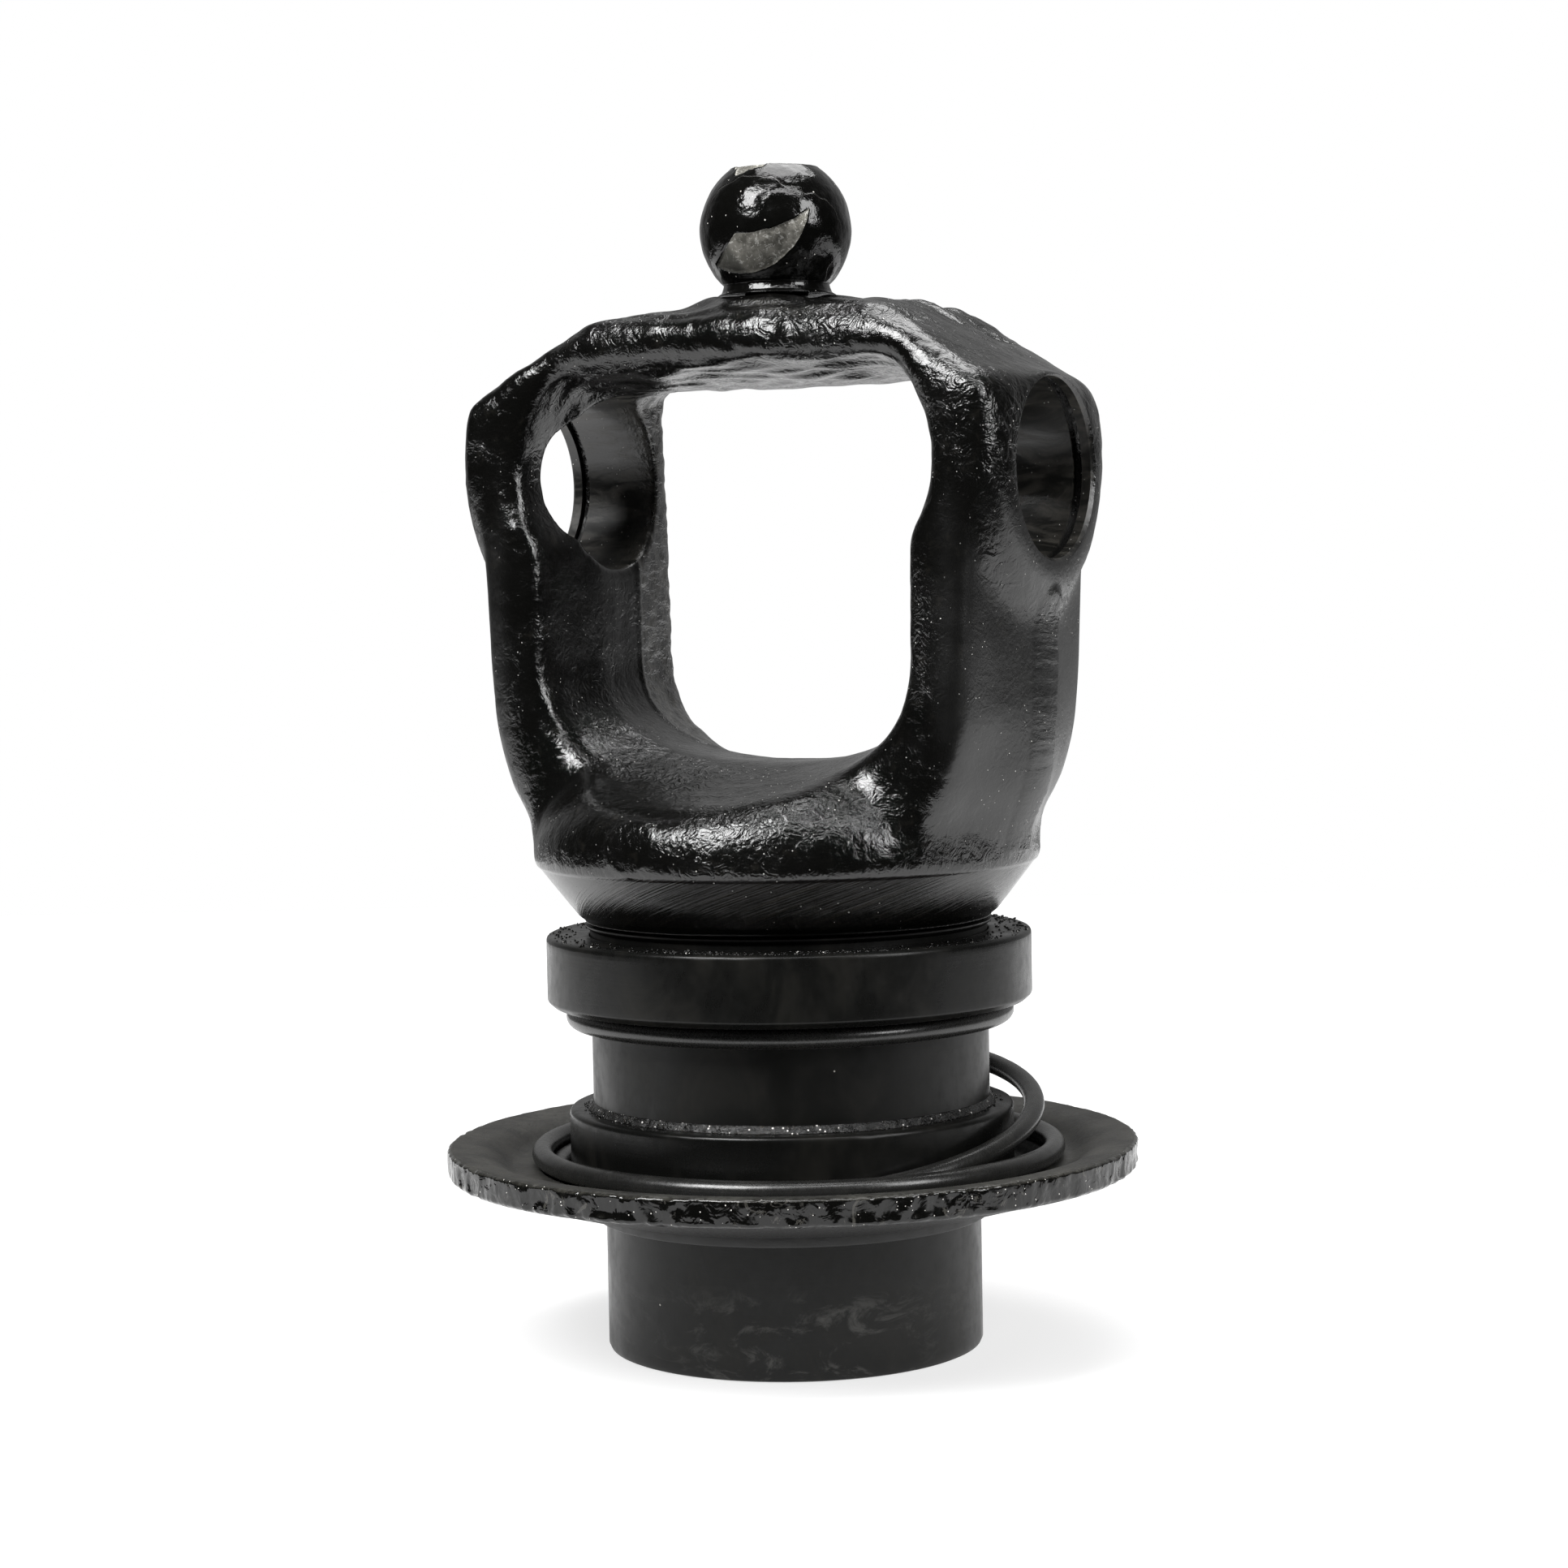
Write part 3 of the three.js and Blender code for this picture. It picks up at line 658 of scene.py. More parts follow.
def chipped_ball():
    neck_r, spigot_r, boss_z = 14.7, 8.7, 289.5
    neck_z = BALL_Z - math.sqrt(BALL_R ** 2 - neck_r ** 2)
    profile = [(0, PIN_LOW_Z), (spigot_r, PIN_LOW_Z), (spigot_r, boss_z), (neck_r + 1.6, boss_z)]
    profile += [(neck_r + 0.5, boss_z + 0.7), (neck_r, boss_z + 2.0), (neck_r - 0.2, boss_z + 2.9)]
    low, high = math.asin((neck_z + 0.6 - BALL_Z) / BALL_R), math.asin((BALL_TOP_Z - 0.5 - BALL_Z) / BALL_R)
    for step in range(73):
        turn = low + (high - low) * step / 72
        profile.append((BALL_R * math.cos(turn), BALL_Z + BALL_R * math.sin(turn)))
    top_r = profile[-1][0]
    profile += [(top_r - 0.5, BALL_TOP_Z - 0.05), (top_r - 1.1, BALL_TOP_Z), (0, BALL_TOP_Z)]
    piece = spun_solid("chipped_ball_pin", profile, 320, 0.6)
    mesh = piece.data
    points = read_points(mesh)
    normals = read_normals(mesh)
    bare = np.full(len(points), -1.0)
    crack = np.full(len(points), 9.0)
    height = np.zeros(len(points))
    for i, point in enumerate(points):
        if point[2] < boss_z + 0.5:
            continue
        point = Vector(point)
        bare[i] = bare_amount(point)
        sunk = 0.28 * float(smoothstep(-0.12, 0.22, bare[i]))
        lip = 0.07 * math.exp(-((bare[i] + 0.35) / 0.3) ** 2)
        crack[i] = crack_distance(point)
        runs = 0.2 * bumps(point, 7, 3.0) + 0.08 * bumps(point, 2.4, 1.0)
        height[i] = lip - sunk + runs * (1 if bare[i] < 0 else 0.3)
    points = points + normals * height[:, None]
    points[:, 2] = np.minimum(points[:, 2], BALL_TOP_Z)
    write_points(mesh, points)
    spots = (points - np.array([0, 0, BALL_Z])) / BALL_R
    set_attribute(mesh, "darker_lower_left", smoothstep(0.62, 0.7, spots @ np.array(LOWER_LEFT_SIDE)))
    set_attribute(mesh, "bare", bare)
    set_attribute(mesh, "crack", crack)
    return piece


# ---------- rubber rings ----------

def flat_ring(name, radius, z, tube_r, seed):
    def skin(angle, turn):
        return 0.03 * bumps(on_circle(radius, angle, turn), 3, seed)
    return tube_ring(name, lambda angle: radius, lambda angle: z, tube_r, skin=skin)


def joint_skin(joint_deg, seed):
    """Rubber skin with a small raised mark where the cord was joined into a ring."""
    def skin(angle, turn):
        away = wrapped(angle - math.radians(joint_deg) + 0.004 * math.sin(turn * 2))
        mark = -0.22 * math.exp(-(away / 0.006) ** 2) + 0.1 * math.exp(-((away - 0.012) / 0.008) ** 2)
        return mark + 0.04 * bumps(on_circle(70, angle, turn), 2.5, seed)
    return skin


def trough_ring():
    def radius_at(angle):
        bulge = max(0, math.cos(angle - math.radians(145))) ** 2
        return 71 + 1.8 * math.cos(angle - math.radians(29)) + 1.9 * bulge
    z = RIM_TOP_Z - STEP_DEPTH + GAP + TUBE_R
    skin = joint_skin(256, 2.0)
    return tube_ring("joined_trough_ring", radius_at, lambda angle: z, TUBE_R, 400, skin=skin)


def hooked_ring():
    def lift(angle):
        away = wrapped(angle - math.radians(100))
        turn = min(math.pi, 2.1 * away) if away > 0 else away
        return (1 + math.cos(turn)) / 2
    return tube_ring("hooked_loose_ring", lambda angle: 64.8 + 3.8 * lift(angle),
                     lambda angle: 50.6 + 23.5 * lift(angle), TUBE_R, 400, skin=joint_skin(190, 5.0))


def squeezed_ring(name, z):
    floor_r = JOURNAL_R - GROOVE_DEPTH + GAP
    tube_r = (JOURNAL_R - floor_r) / 2
    return tube_ring(name, lambda angle: floor_r + tube_r, lambda angle: z, tube_r, 120, 12)


# ---------- paint residue ----------

def lump(points, faces, middle, size, pick):
    """Adds one small uneven crumb to the lists of points and faces."""
    work = bmesh.new()
    bmesh.ops.create_icosphere(work, subdivisions=1, radius=1)
    start = len(points)
    squash = Vector((pick.uniform(0.6, 1.4), pick.uniform(0.6, 1.4), pick.uniform(0.45, 1.0)))
    for vertex in work.verts:
        grown = vertex.co * (1 + pick.uniform(-0.28, 0.28))
        points.append(Vector(middle) + grown * squash * size)
    faces += [tuple(start + vertex.index for vertex in face.verts) for face in work.faces]
    work.free()


def crumbs(name, count, radius_range, z, angles, seed, sizes=(0.18, 0.62)):
    """Crumbs of dried paint strewn over a ring-shaped ledge, thicker in some stretches."""
    pick = random.Random(seed)
    points, faces = [], []
    while count:
        angle = pick.uniform(*angles)
        if pick.random() > 0.25 + 0.75 * max(0, math.sin(angle * 3 + seed) + 0.5 * math.sin(angle * 7)):
            continue
        radius = pick.triangular(*radius_range)
        size = pick.uniform(*sizes) ** 1.3
        lump(points, faces, on_circle(radius, angle, z + size * 0.2), size, pick)
        count -= 1
    return add_object(name, points, faces)


def goo_ring(name, inner_r, z, width, height, seed):
    """A wet, lumpy bead of paint lying in the corner between the journal and a ledge."""
    def skin(angle, radius, level):
        if radius <= inner_r + 0.2:
            return 0
        point = on_circle(56, angle, level)
        return 0.45 * bumps(point, 2.6, seed) + 0.25 * bumps(point, 1.1, seed + 4)
    profile = [
        (inner_r, z, 0.1), (inner_r + width, z, 0.2), (inner_r + width * 0.7, z + height * 0.35, 0.4),
        (inner_r + width * 0.25, z + height * 0.8, 0.4), (inner_r, z + height, 0.2),
    ]
    return lathe(name, profile, 720, 0.5, skin)


# ---------- shader nodes ----------

class Paint:
    """A material whose nodes are added by short calls. Lengths are in millimetres."""

    def __init__(self, name):
        self.material = bpy.data.materials.new(name)
        self.material.use_nodes = True
        self.tree = self.material.node_tree
        self.tree.nodes.clear()
        self.shader = self.node("BsdfPrincipled")
        output = self.node("OutputMaterial")
        self.tree.links.new(self.shader.outputs[0], output.inputs["Surface"])
        self.place = self.node("TexCoord").outputs["Object"]

    def node(self, kind):
        return self.tree.nodes.new("ShaderNode" + kind)

    def put(self, socket, value):
        if isinstance(value, bpy.types.NodeSocket):
            self.tree.links.new(value, socket)
        else:
            socket.default_value = value

    def set(self, **values):
        for name, value in values.items():
            self.put(self.shader.inputs[name.replace("_", " ")], value)

    def stretched(self, stretch):
        node = self.node("Mapping")
        self.put(node.inputs["Vector"], self.place)
        node.inputs["Scale"].default_value = stretch
        return node.outputs[0]

    def across(self, name, along):
        """Coordinates that run across a mark by a point attribute, and only slowly along it."""
        split = self.node("SeparateXYZ")
        self.put(split.inputs[0], self.place)
        join = self.node("CombineXYZ")
        self.put(join.inputs[0], self.attribute(name))
        self.put(join.inputs[1], self.times(split.outputs[2], along))
        return join.outputs[0]

    def noise(self, wavelength, detail=3.0, roughness=0.55, distortion=0.0, stretch=None, vector=None):
        node = self.node("TexNoise")
        self.put(node.inputs["Vector"], vector or (self.stretched(stretch) if stretch else self.place))
        node.inputs["Scale"].default_value = 1 / (wavelength * MM)
        node.inputs["Detail"].default_value = detail
        node.inputs["Roughness"].default_value = roughness
        node.inputs["Distortion"].default_value = distortion
        return node.outputs["Fac"]

    def attribute(self, name):
        node = self.node("Attribute")
        node.attribute_name = name
        return node.outputs["Fac"]

    def span(self, value, low, high, to_low=0.0, to_high=1.0):
        node = self.node("MapRange")
        node.interpolation_type = "SMOOTHSTEP"
        self.put(node.inputs["Value"], value)
        for name, number in zip(("From Min", "From Max", "To Min", "To Max"), (low, high, to_low, to_high)):
            node.inputs[name].default_value = number
        return node.outputs[0]

    def maths(self, operation, first, second):
        node = self.node("Math")
        node.operation = operation
        self.put(node.inputs[0], first)
        self.put(node.inputs[1], second)
        return node.outputs[0]

    def times(self, first, second):
        return self.maths("MULTIPLY", first, second)

    def blend(self, factor, first, second):
        """Mixes two colours, given as sockets or (r, g, b)."""
        node = self.node("Mix")
        node.data_type = "RGBA"
        self.put(node.inputs["Factor"], factor)
        for socket, value in ((node.inputs[6], first), (node.inputs[7], second)):
            self.put(socket, value if isinstance(value, bpy.types.NodeSocket) else (*value, 1))
        return node.outputs[2]

    def mix(self, factor, first, second):
        """Mixes two numbers or number sockets."""
        node = self.node("Mix")
        self.put(node.inputs[0], factor)
        self.put(node.inputs[2], first)
        self.put(node.inputs[3], second)
        return node.outputs[0]

    def specks(self, spacing, size, share):
        """Sparse round dots: 1 inside a dot and 0 outside."""
        node = self.node("TexVoronoi")
        self.put(node.inputs["Vector"], self.place)
        node.inputs["Scale"].default_value = 1 / (spacing * MM)
        dot = self.span(node.outputs["Distance"], size * 0.7, size, 1.0, 0.0)
        split = self.node("SeparateColor")
        self.put(split.inputs[0], node.outputs["Color"])
        chosen = self.maths("GREATER_THAN", split.outputs[0], 1 - share)
        return self.times(dot, chosen)

    def bump(self, height, distance, strength=1.0, under=None):
        node = self.node("Bump")
        node.inputs["Distance"].default_value = distance * MM
        self.put(node.inputs["Strength"], strength)
        self.put(node.inputs["Height"], height)
        if under:
            self.put(node.inputs["Normal"], under)
        return node.outputs[0]


BLACK = (0.003, 0.003, 0.0027)
DUST = (0.05, 0.046, 0.038)


def forging_paint():
    paint = Paint("forging_paint")
    satin, bored, turned, shear, land = (
        paint.attribute(name) for name in ("satin", "bored", "turned", "shear", "land"))
    patches = paint.noise(24, 4, 0.6)
    dust = paint.span(paint.noise(5, 5, 0.65), 0.55, 0.85, 0.0, 0.3)
    # Painted glints: sparse white specks, in patches, stand for highlights off tiny paint droplets; they are
    # bumped too.
    painted_glints = paint.times(paint.specks(1.3, 0.16, 0.2), paint.span(patches, 0.42, 0.6))
    marks = paint.noise(1.2, 4, 0.6, vector=paint.across("chatter", 0.07))
    streak = paint.span(marks, 0.52, 0.7)
    colour = paint.blend(dust, BLACK, DUST)
    colour = paint.blend(paint.times(turned, streak), colour, (0.02, 0.018, 0.014))
    scored = paint.noise(5, 4, 0.6, 0.8, (0.35, 1.0, 1.0))
    bore_colour = paint.blend(paint.span(scored, 0.42, 0.7), (0.01, 0.01, 0.009), (0.06, 0.056, 0.048))
    colour = paint.blend(bored, colour, bore_colour)
    frosted = paint.times(shear, paint.span(paint.noise(3.5, 4, 0.65), 0.42, 0.6))
    colour = paint.blend(frosted, colour, (0.035, 0.033, 0.028))
    colour = paint.blend(paint.times(land, 0.5), colour, (0.001, 0.001, 0.001))
    paint.set(Base_Color=paint.blend(painted_glints, colour, (0.85, 0.84, 0.8)))
    wet = paint.span(patches, 0.3, 0.7, 0.12, 0.24)
    gloss = paint.mix(satin, wet, paint.span(patches, 0.3, 0.7, 0.28, 0.4))
    paint.set(Roughness=paint.mix(bored, gloss, paint.span(scored, 0.4, 0.65, 0.28, 0.42)))
    as_forged = paint.mix(paint.maths("MAXIMUM", bored, turned), 1.0, 0.0)
    calm = paint.times(paint.mix(satin, 1.0, 0.25), as_forged)
    swell = paint.maths("ABSOLUTE", paint.maths("SUBTRACT", paint.noise(4.2, 2, 0.5, 1.2), 0.5), 0.0)
    coarse = paint.bump(swell, 0.9, paint.times(calm, paint.span(patches, 0.42, 0.6, 0.1, 0.9)))
    peel = paint.bump(paint.noise(2.2, 4, 0.6, 0.6), 0.24, calm, coarse)
    sheared = paint.bump(paint.noise(1.8, 3, 0.6, 0.5, (1.0, 0.3, 1.0)), 0.5, paint.times(shear, 0.8), peel)
    scraped = paint.times(land, paint.span(patches, 0.4, 0.6, 0.2, 0.8))
    ribs = paint.bump(paint.noise(1.6, 3, 0.6, 0.3, (0.2, 0.2, 1.0)), 0.35, scraped, sheared)
    grain = paint.mix(satin, paint.span(patches, 0.4, 0.6, 0.12, 0.5), 0.5)
    fine = paint.bump(paint.noise(1.1, 3, 0.65), 0.09, paint.mix(bored, grain, 0.2), ribs)
    dots = paint.bump(painted_glints, 0.25, 0.8, fine)
    cut_marks = paint.bump(marks, 0.2, paint.times(turned, 0.6), dots)
    paint.set(Normal=paint.bump(scored, 0.12, paint.times(bored, 0.8), cut_marks))
    paint.set(Specular_IOR_Level=0.7)
    return paint.material


def turned_paint(name, base, rough_low, rough_high, specks=0.05):
    """Satin paint over a turned surface: fine rings, soft smudges and a few white specks."""
    paint = Paint(name)
    smudge = paint.noise(16, 4, 0.6, 0.6, (1, 1, 0.6))
    film = paint.noise(3.2, 4, 0.65)
    dots = paint.specks(4.5, 0.07, specks)
    tint = paint.blend(paint.span(smudge, 0.45, 0.75, 0.0, 0.16), base, DUST)
    wiped = paint.span(paint.noise(13, 5, 0.68, 0.7, (1, 1, 1.9)), 0.5, 0.68)
    tint = paint.blend(paint.times(wiped, paint.attribute("smudged")), tint, (0.065, 0.064, 0.06))
    paint.set(Base_Color=paint.blend(dots, tint, (0.6, 0.58, 0.54)))
    broad = paint.span(smudge, 0.3, 0.7, rough_low, rough_high)
    paint.set(Roughness=paint.maths("ADD", broad, paint.span(film, 0.4, 0.7, 0, 0.06)))
    rings = paint.noise(0.55, 2, 0.5, stretch=(0.02, 0.02, 1.0))
    lines = paint.bump(rings, 0.03, 0.35)
    peel = paint.bump(film, 0.06, 0.4, lines)
    paint.set(Normal=paint.bump(dots, 0.15, 0.6, peel))
    paint.set(Specular_IOR_Level=0.26)
    return paint.material


def shield_paint():
    """Dusty matt paint on the dish's upper side and wet-looking paint on its cut rim, with painted glints:
    white specks on the rim.
    """
    paint = Paint("shield_paint")
    rim = paint.attribute("rim")
    top = paint.attribute("top")
    cloud = paint.noise(12, 5, 0.65)
    grit = paint.noise(1.1, 4, 0.7)
    dusty = paint.times(paint.span(cloud, 0.3, 0.7, 0.25, 0.85), top)
    dusty = paint.times(dusty, paint.span(grit, 0.35, 0.6, 0.4, 1.0))
    colour = paint.blend(dusty, BLACK, (0.06, 0.058, 0.05))
    smear = paint.times(paint.span(paint.noise(9, 5, 0.7, 1.5), 0.58, 0.63), rim)
    colour = paint.blend(smear, colour, (0.06, 0.058, 0.052))
    # Painted glints: sparse white specks on the cut rim stand for highlights.
    painted_glints = paint.times(paint.specks(1.3, 0.17, 0.3), rim)
    paint.set(Base_Color=paint.blend(painted_glints, colour, (0.7, 0.68, 0.64)))
    matt = paint.span(grit, 0.35, 0.65, 0.48, 0.68)
    paint.set(Roughness=paint.mix(rim, matt, paint.span(cloud, 0.4, 0.65, 0.07, 0.2)))
    crust = paint.bump(paint.noise(4.2, 2, 0.5, 0.8), 0.6, paint.mix(rim, 0.08, 0.7))
    paint.set(Normal=paint.bump(grit, 0.1, paint.mix(rim, 0.5, 0.3), crust))
    return paint.material


def ball_paint():
    """Gloss paint with a dark hairline crack and a painted highlight along its lips, and bare steel, darker
    towards the lower left, where it has flaked.
    """
    paint = Paint("ball_paint")
    bare = paint.span(paint.attribute("bare"), -0.03, 0.03)
    cloud = paint.noise(3.5, 5, 0.7)
    scab = paint.span(paint.noise(1.4, 5, 0.75, 1.0), 0.55, 0.6)
    steel = paint.blend(paint.span(cloud, 0.35, 0.65), (0.16, 0.155, 0.135), (0.3, 0.29, 0.26))
    steel = paint.blend(paint.times(scab, 0.7), steel, (0.75, 0.74, 0.7))
    # Bare steel made darker towards the ball's lower left, as the camera sees it.
    steel = paint.blend(paint.times(paint.attribute("darker_lower_left"), 0.8), steel, (0.07, 0.07, 0.062))
    dots = paint.specks(1.9, 0.13, 0.16)
    coat = paint.blend(dots, BLACK, (0.7, 0.68, 0.64))
    gap = paint.span(paint.maths("ABSOLUTE", paint.attribute("crack"), 0.0), 0.03, 0.13, 1.0, 0.0)
    # Painted highlight: a faint lighter band along each lip of the crack.
    edge = paint.span(paint.maths("ABSOLUTE", paint.attribute("crack"), 0.0), 0.12, 0.24, 0.12, 0.0)
    coat = paint.blend(edge, coat, (0.2, 0.19, 0.17))
    coat = paint.blend(gap, coat, (0.001, 0.001, 0.001))
    paint.set(Base_Color=paint.blend(bare, coat, steel))
    paint.set(Metallic=paint.times(bare, 0.85))
    wet = paint.span(cloud, 0.3, 0.7, 0.07, 0.18)
    paint.set(Roughness=paint.mix(bare, wet, paint.span(cloud, 0.3, 0.7, 0.42, 0.6)))
    waves = paint.bump(paint.noise(4.0, 3, 0.55), 0.45, 0.6)
    split = paint.bump(paint.maths("SUBTRACT", 1.0, gap), 0.2, 0.8, waves)
    paint.set(Normal=paint.bump(paint.noise(0.8, 3, 0.6), 0.08, paint.mix(bare, 0.5, 0.9), split))
    return paint.material


def rubber():
    paint = Paint("seal_rubber")
    bloom = paint.noise(9, 4, 0.6)
    grit = paint.noise(0.8, 3, 0.65)
    bloomed = paint.span(bloom, 0.4, 0.75, 0.0, 0.3)
    paint.set(Base_Color=paint.blend(bloomed, (0.012, 0.012, 0.0115), (0.045, 0.044, 0.04)))
    paint.set(Roughness=paint.span(grit, 0.3, 0.7, 0.24, 0.32))
    paint.set(Normal=paint.bump(grit, 0.02, 0.1))
    paint.set(Specular_IOR_Level=0.7)
    return paint.material


def spring_steel():
    paint = Paint("spring_steel")
    cloud = paint.noise(6, 4, 0.6)
    worn = paint.span(cloud, 0.35, 0.7)
    paint.set(Base_Color=paint.blend(worn, (0.004, 0.004, 0.004), (0.012, 0.012, 0.011)))
    paint.set(Roughness=paint.span(cloud, 0.3, 0.7, 0.32, 0.5))
    paint.set(Normal=paint.bump(paint.noise(0.9, 3, 0.6), 0.05, 0.5))
    return paint.material


def wet_residue():
    """Dried drips and crumbs of paint: black and wet-looking, with painted glints: white specks that stand
    for highlights.
    """
    paint = Paint("paint_residue")
    grit = paint.noise(0.9, 4, 0.7, 0.5)
    # Painted glints: white specks stand for highlights off the crumbs.
    dots = paint.specks(1.2, 0.26, 0.3)
    colour = paint.blend(paint.span(grit, 0.55, 0.7), BLACK, (0.04, 0.035, 0.028))
    paint.set(Base_Color=paint.blend(dots, colour, (0.9, 0.88, 0.84)))
    paint.set(Roughness=paint.span(grit, 0.3, 0.7, 0.1, 0.3))
    paint.set(Normal=paint.bump(grit, 0.4, 0.9))
    return paint.material


# ---------- assembly ----------

def place(piece, body, slot, material, *nodes):
    """Gives a piece its material and body, and hides the CAD nodes that it stands for. The slot argument is
    not used.
    """
    piece.data.materials.clear()
    piece.data.materials.append(material)
    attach(piece, body)
    if nodes:
        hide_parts(*nodes)
    return piece


def mark_shield(piece):
    """Says which points lie on the cut rim, and which face up."""
    points = read_points(piece.data)
    radius = np.hypot(points[:, 0], points[:, 1])
    middle_z = RIM_TOP_Z - 4
    rim = smoothstep(RIM_R - 1.6, RIM_R - 0.9, radius + 0.25)
    rim = rim * (1 - smoothstep(RIM_TOP_Z - 0.5, RIM_TOP_Z, points[:, 2]))
    normals = read_normals(piece.data)
    top = smoothstep(0.2, 0.6, normals[:, 2]) * smoothstep(HUB_LOW_Z + 5, middle_z, points[:, 2])
    set_attribute(piece.data, "rim", rim)
    set_attribute(piece.data, "top", top)


def build_object():
    collar = turned_paint("collar_paint", (0.005, 0.0051, 0.0047), 0.23, 0.34)
    journal = turned_paint("turned_paint", (0.007, 0.0071, 0.0066), 0.28, 0.4, 0.03)
    black_rubber = rubber()
    residue = wet_residue()

    place(forged_yoke(), "yoke", "forging_paint", forging_paint(), "yoke_forging")
    place(chipped_ball(), "yoke", "ball_paint", ball_paint(), "centring_ball_pin")
    place(turned_stub(), "yoke", "turned_paint", journal, "stub_shaft")

    profile = collar_profile(UPPER_COLLAR_R, UPPER_COLLAR_LOW_Z, UPPER_COLLAR_TOP_Z, 1.8)
    upper = lathe("turned_upper_collar", profile, 288, 1.5, worn_edge(UPPER_COLLAR_TOP_Z, 3.0))
    place(upper, "yoke", "collar_paint", collar, "upper_collar")
    profile = collar_profile(LOWER_COLLAR_R, LOWER_COLLAR_LOW_Z, LOWER_COLLAR_TOP_Z, 0.8)
    lower = lathe("turned_lower_collar", profile, 288, 1.5, worn_edge(LOWER_COLLAR_TOP_Z, 6.0))
    place(lower, "lower_collar", "collar_paint", collar, "lower_collar")

    seal_r = JOURNAL_R + GAP + TUBE_R + 1
    seal = flat_ring("round_upper_seal", seal_r, UPPER_COLLAR_LOW_Z - GAP - TUBE_R, TUBE_R, 1.0)
    place(seal, "yoke", "seal_rubber", black_rubber, "upper_seal_ring")
    for name, node, z in (("squeezed_upper_o_ring", "upper_collar_o_ring", UPPER_GROOVE_Z),
                          ("squeezed_lower_o_ring", "lower_collar_o_ring", LOWER_GROOVE_Z)):
        place(squeezed_ring(name, z), "yoke", "seal_rubber", black_rubber, node)
    place(hooked_ring(), "loose_rings", "seal_rubber", black_rubber, "loose_seal_ring")
    place(trough_ring(), "loose_rings", "seal_rubber", black_rubber, "trough_seal_ring")

    dish = lathe("cut_rim_shield", shield_profile(), 900, 1.3, rim_skin)
    mark_shield(dish)
    place(dish, "shield", "shield_paint", shield_paint(), "dished_shield")
    place(retaining_ring(), "yoke", "spring_steel", spring_steel(), "shield_retaining_ring")

    goo = goo_ring("journal_foot_goo", JOURNAL_R + 0.02, LOWER_COLLAR_TOP_Z, 1.6, 2.1, 4.0)
    place(goo, "yoke", "turned_paint", residue)
    full_turn = (0, math.tau)
    ledge = (JOURNAL_R + 2, UPPER_COLLAR_R - 0.5, UPPER_COLLAR_R - 2)
    strewn = crumbs("collar_ledge_crumbs", 900, ledge, UPPER_COLLAR_TOP_Z, full_turn, 5)
    place(strewn, "yoke", "collar_paint", residue)
    foot = (JOURNAL_R + 0.4, JOURNAL_R + 3.4, JOURNAL_R + 1.0)
    strewn = crumbs("journal_foot_crumbs", 520, foot, LOWER_COLLAR_TOP_Z, full_turn, 9, (0.15, 0.5))
    place(strewn, "lower_collar", "collar_paint", residue)


# ---------- camera, lights and floor ----------

def add_camera():
    data = bpy.data.cameras.new("camera")
    data.lens = CAMERA_LENS_MM
    data.sensor_width = 36
    data.clip_start = 0.05
    data.clip_end = 30
    camera = bpy.data.objects.new("camera", data)
    link(camera)
    heading = CAMERA_AZIMUTH + CAMERA_YAW
    level = Vector((-math.sin(heading), math.cos(heading), 0))
    forward = level * math.cos(CAMERA_PITCH) - Vector((0, 0, 1)) * math.sin(CAMERA_PITCH)
    right = forward.cross(Vector((0, 0, 1))).normalized()
    above = right.cross(forward)
    rolled_right = right * math.cos(CAMERA_ROLL) + above * math.sin(CAMERA_ROLL)
    rolled_up = above * math.cos(CAMERA_ROLL) - right * math.sin(CAMERA_ROLL)
    turn = Matrix((rolled_right, rolled_up, -forward)).transposed().to_4x4()
    stand = Vector((math.sin(CAMERA_AZIMUTH), -math.cos(CAMERA_AZIMUTH), 0)) * CAMERA_DISTANCE
    camera.matrix_world = Matrix.Translation(stand + Vector((0, 0, CAMERA_HEIGHT))) @ turn
    bpy.context.scene.camera = camera


def add_softbox(name, toward, distance, size, watts):
    """A rectangular light aimed at the object's middle, from a side given as the camera sees it."""
    direction = seen_from_camera(*toward)
    data = bpy.data.lights.new(name, "AREA")
    data.shape = "RECTANGLE"
    data.size, data.size_y = size
    data.energy = watts
    light = bpy.data.objects.new(name, data)
    light.location = Vector((0, 0, 0.19)) + direction * distance
    light.rotation_euler = direction.to_track_quat("Z", "Y").to_euler()
    link(light)


def add_lights():
    add_softbox("key_box", (-0.5, 0.74, 0.5), 1.3, (0.6, 0.6), 20)
    add_softbox("top_box", (0.1, 1.0, -0.25), 1.2, (0.7, 0.9), 11)
    add_softbox("edge_strip", (0.1, 0.85, 0.52), 1.3, (1.3, 0.16), 5)
    add_softbox("fill_box", (0.70, 0.46, 0.55), 1.4, (0.4, 0.7), 8)


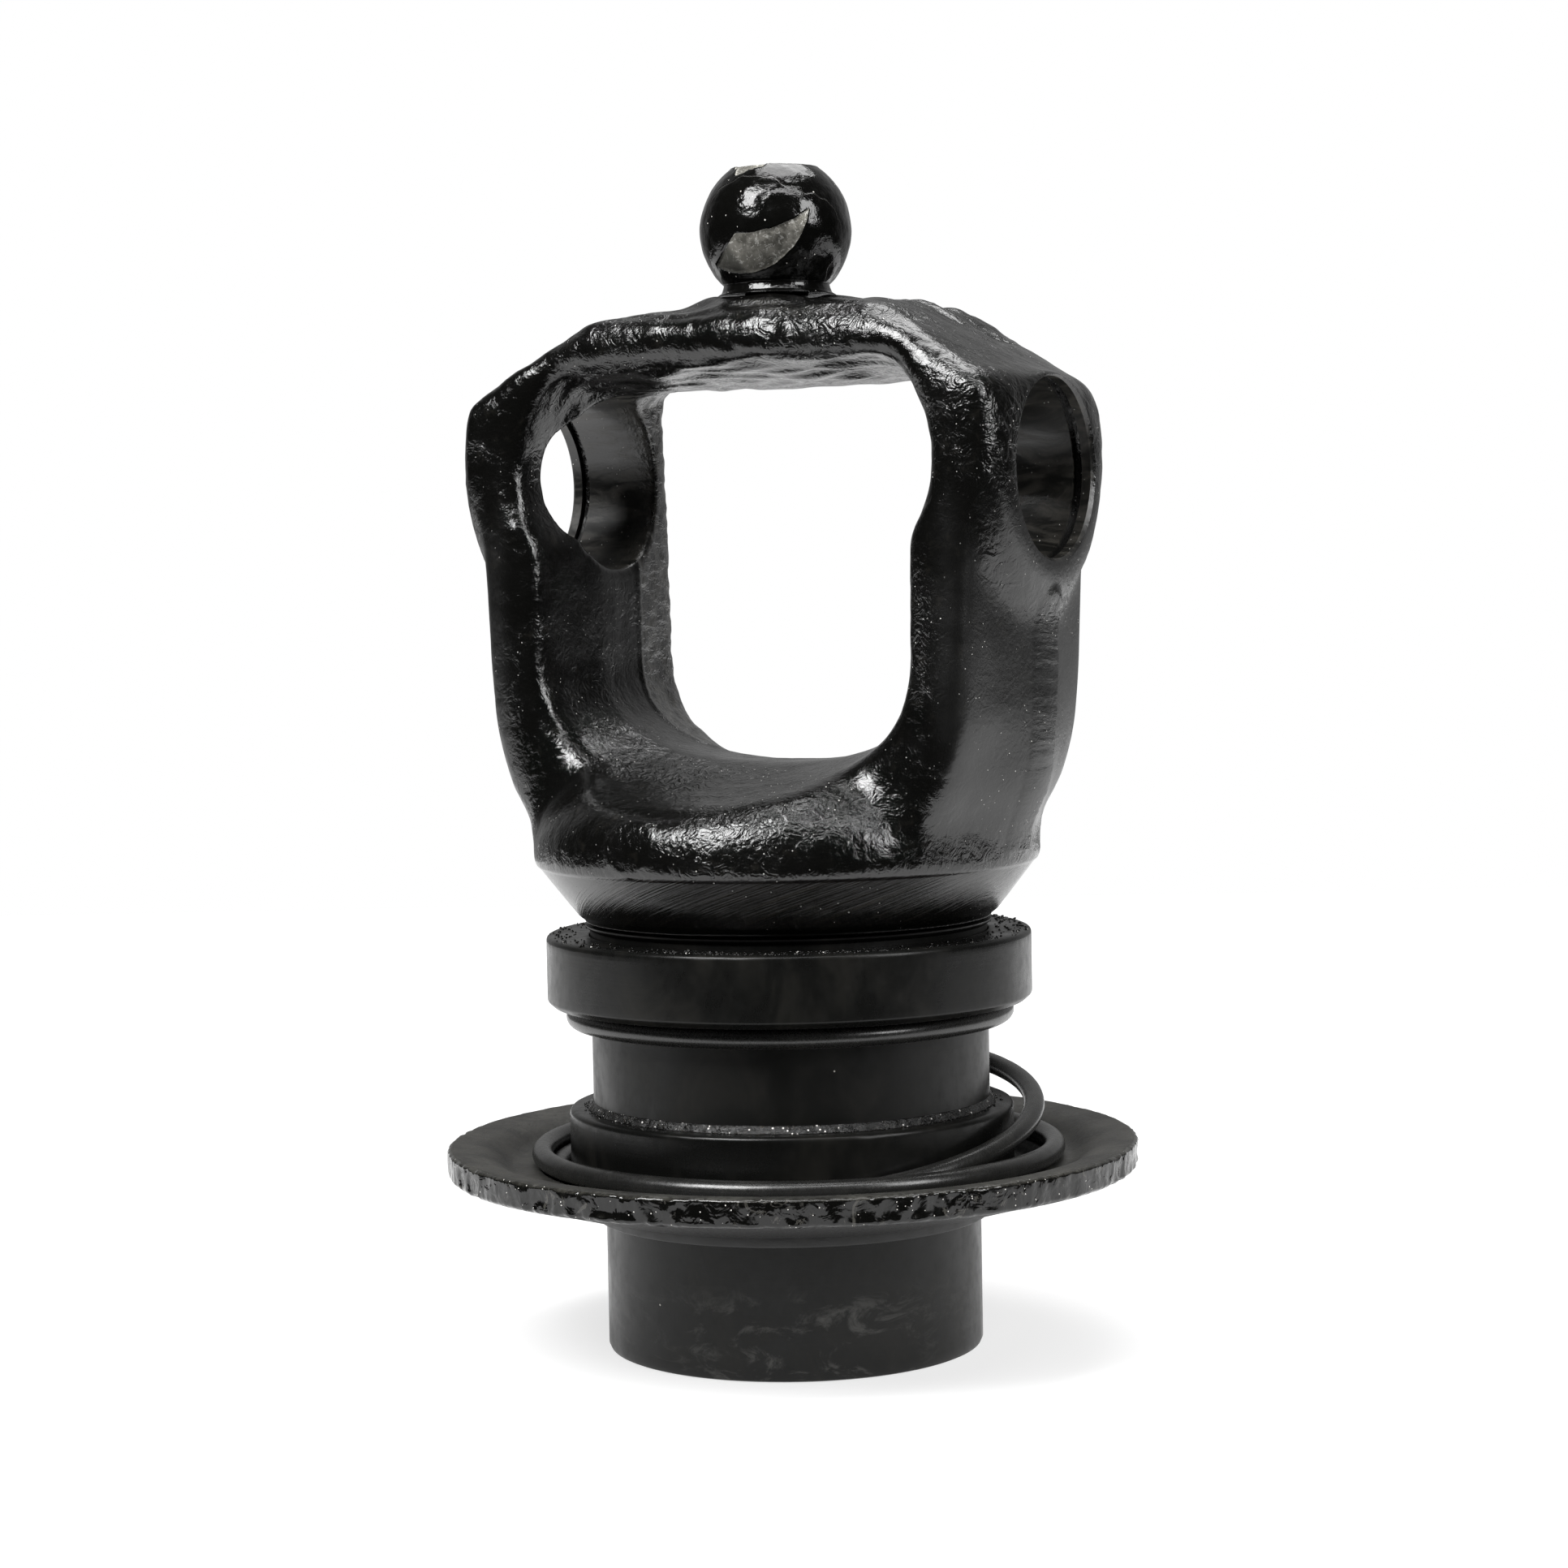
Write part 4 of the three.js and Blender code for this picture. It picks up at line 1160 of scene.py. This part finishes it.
def add_world():
    """White behind the object and dim in front of it, as in a studio lit round a white backdrop."""
    world = bpy.data.worlds.new("studio")
    bpy.context.scene.world = world
    world.use_nodes = True
    tree = world.node_tree
    tree.nodes.clear()
    place_node = tree.nodes.new("ShaderNodeTexCoord")
    dot = tree.nodes.new("ShaderNodeVectorMath")
    dot.operation = "DOT_PRODUCT"
    tree.links.new(place_node.outputs["Generated"], dot.inputs[0])
    dot.inputs[1].default_value = seen_from_camera(0.14, 0.25, -1)
    spread = tree.nodes.new("ShaderNodeMapRange")
    spread.interpolation_type = "SMOOTHSTEP"
    tree.links.new(dot.outputs["Value"], spread.inputs["Value"])
    for name, number in (("From Min", 0.3), ("From Max", 0.98), ("To Min", 0.012), ("To Max", 0.33)):
        spread.inputs[name].default_value = number
    path = tree.nodes.new("ShaderNodeLightPath")
    strength = tree.nodes.new("ShaderNodeMix")
    tree.links.new(path.outputs["Is Camera Ray"], strength.inputs[0])
    tree.links.new(spread.outputs[0], strength.inputs[2])
    strength.inputs[3].default_value = 1.0
    background = tree.nodes.new("ShaderNodeBackground")
    background.inputs["Color"].default_value = (1, 1, 1, 1)
    tree.links.new(strength.outputs[0], background.inputs["Strength"])
    output = tree.nodes.new("ShaderNodeOutputWorld")
    tree.links.new(background.outputs[0], output.inputs["Surface"])


def add_floor():
    """A pale table top whose front edge lies just below the camera's view. It glows, less near the object
    than far off: painted light, which also lights the object from below.
    """
    front, reach = 270, 1300
    corners = [(-reach, front), (reach, front), (reach, -reach), (-reach, -reach)]
    across, back = seen_from_camera(1, 0, 0), seen_from_camera(0, 0, 1)
    floor = add_object("floor", [across * x + back * y for x, y in corners], [(0, 1, 2, 3)])
    paint = Paint("pale_floor")
    paint.set(Base_Color=(0.4, 0.4, 0.4, 1), Roughness=0.8, Specular_IOR_Level=0.1)
    length = paint.node("VectorMath")
    length.operation = "LENGTH"
    paint.put(length.inputs[0], paint.place)
    # Painted light: the floor's own glow, dimmer near the object.
    glow = paint.span(length.outputs["Value"], 0.4, 1.0, 0.72, 1.0)
    paint.set(Emission_Color=(1, 1, 1, 1), Emission_Strength=glow)
    floor.data.materials.append(paint.material)


add_camera()
add_lights()
add_world()
add_floor()
build_object()
bpy.context.scene.view_settings.view_transform = "Standard"
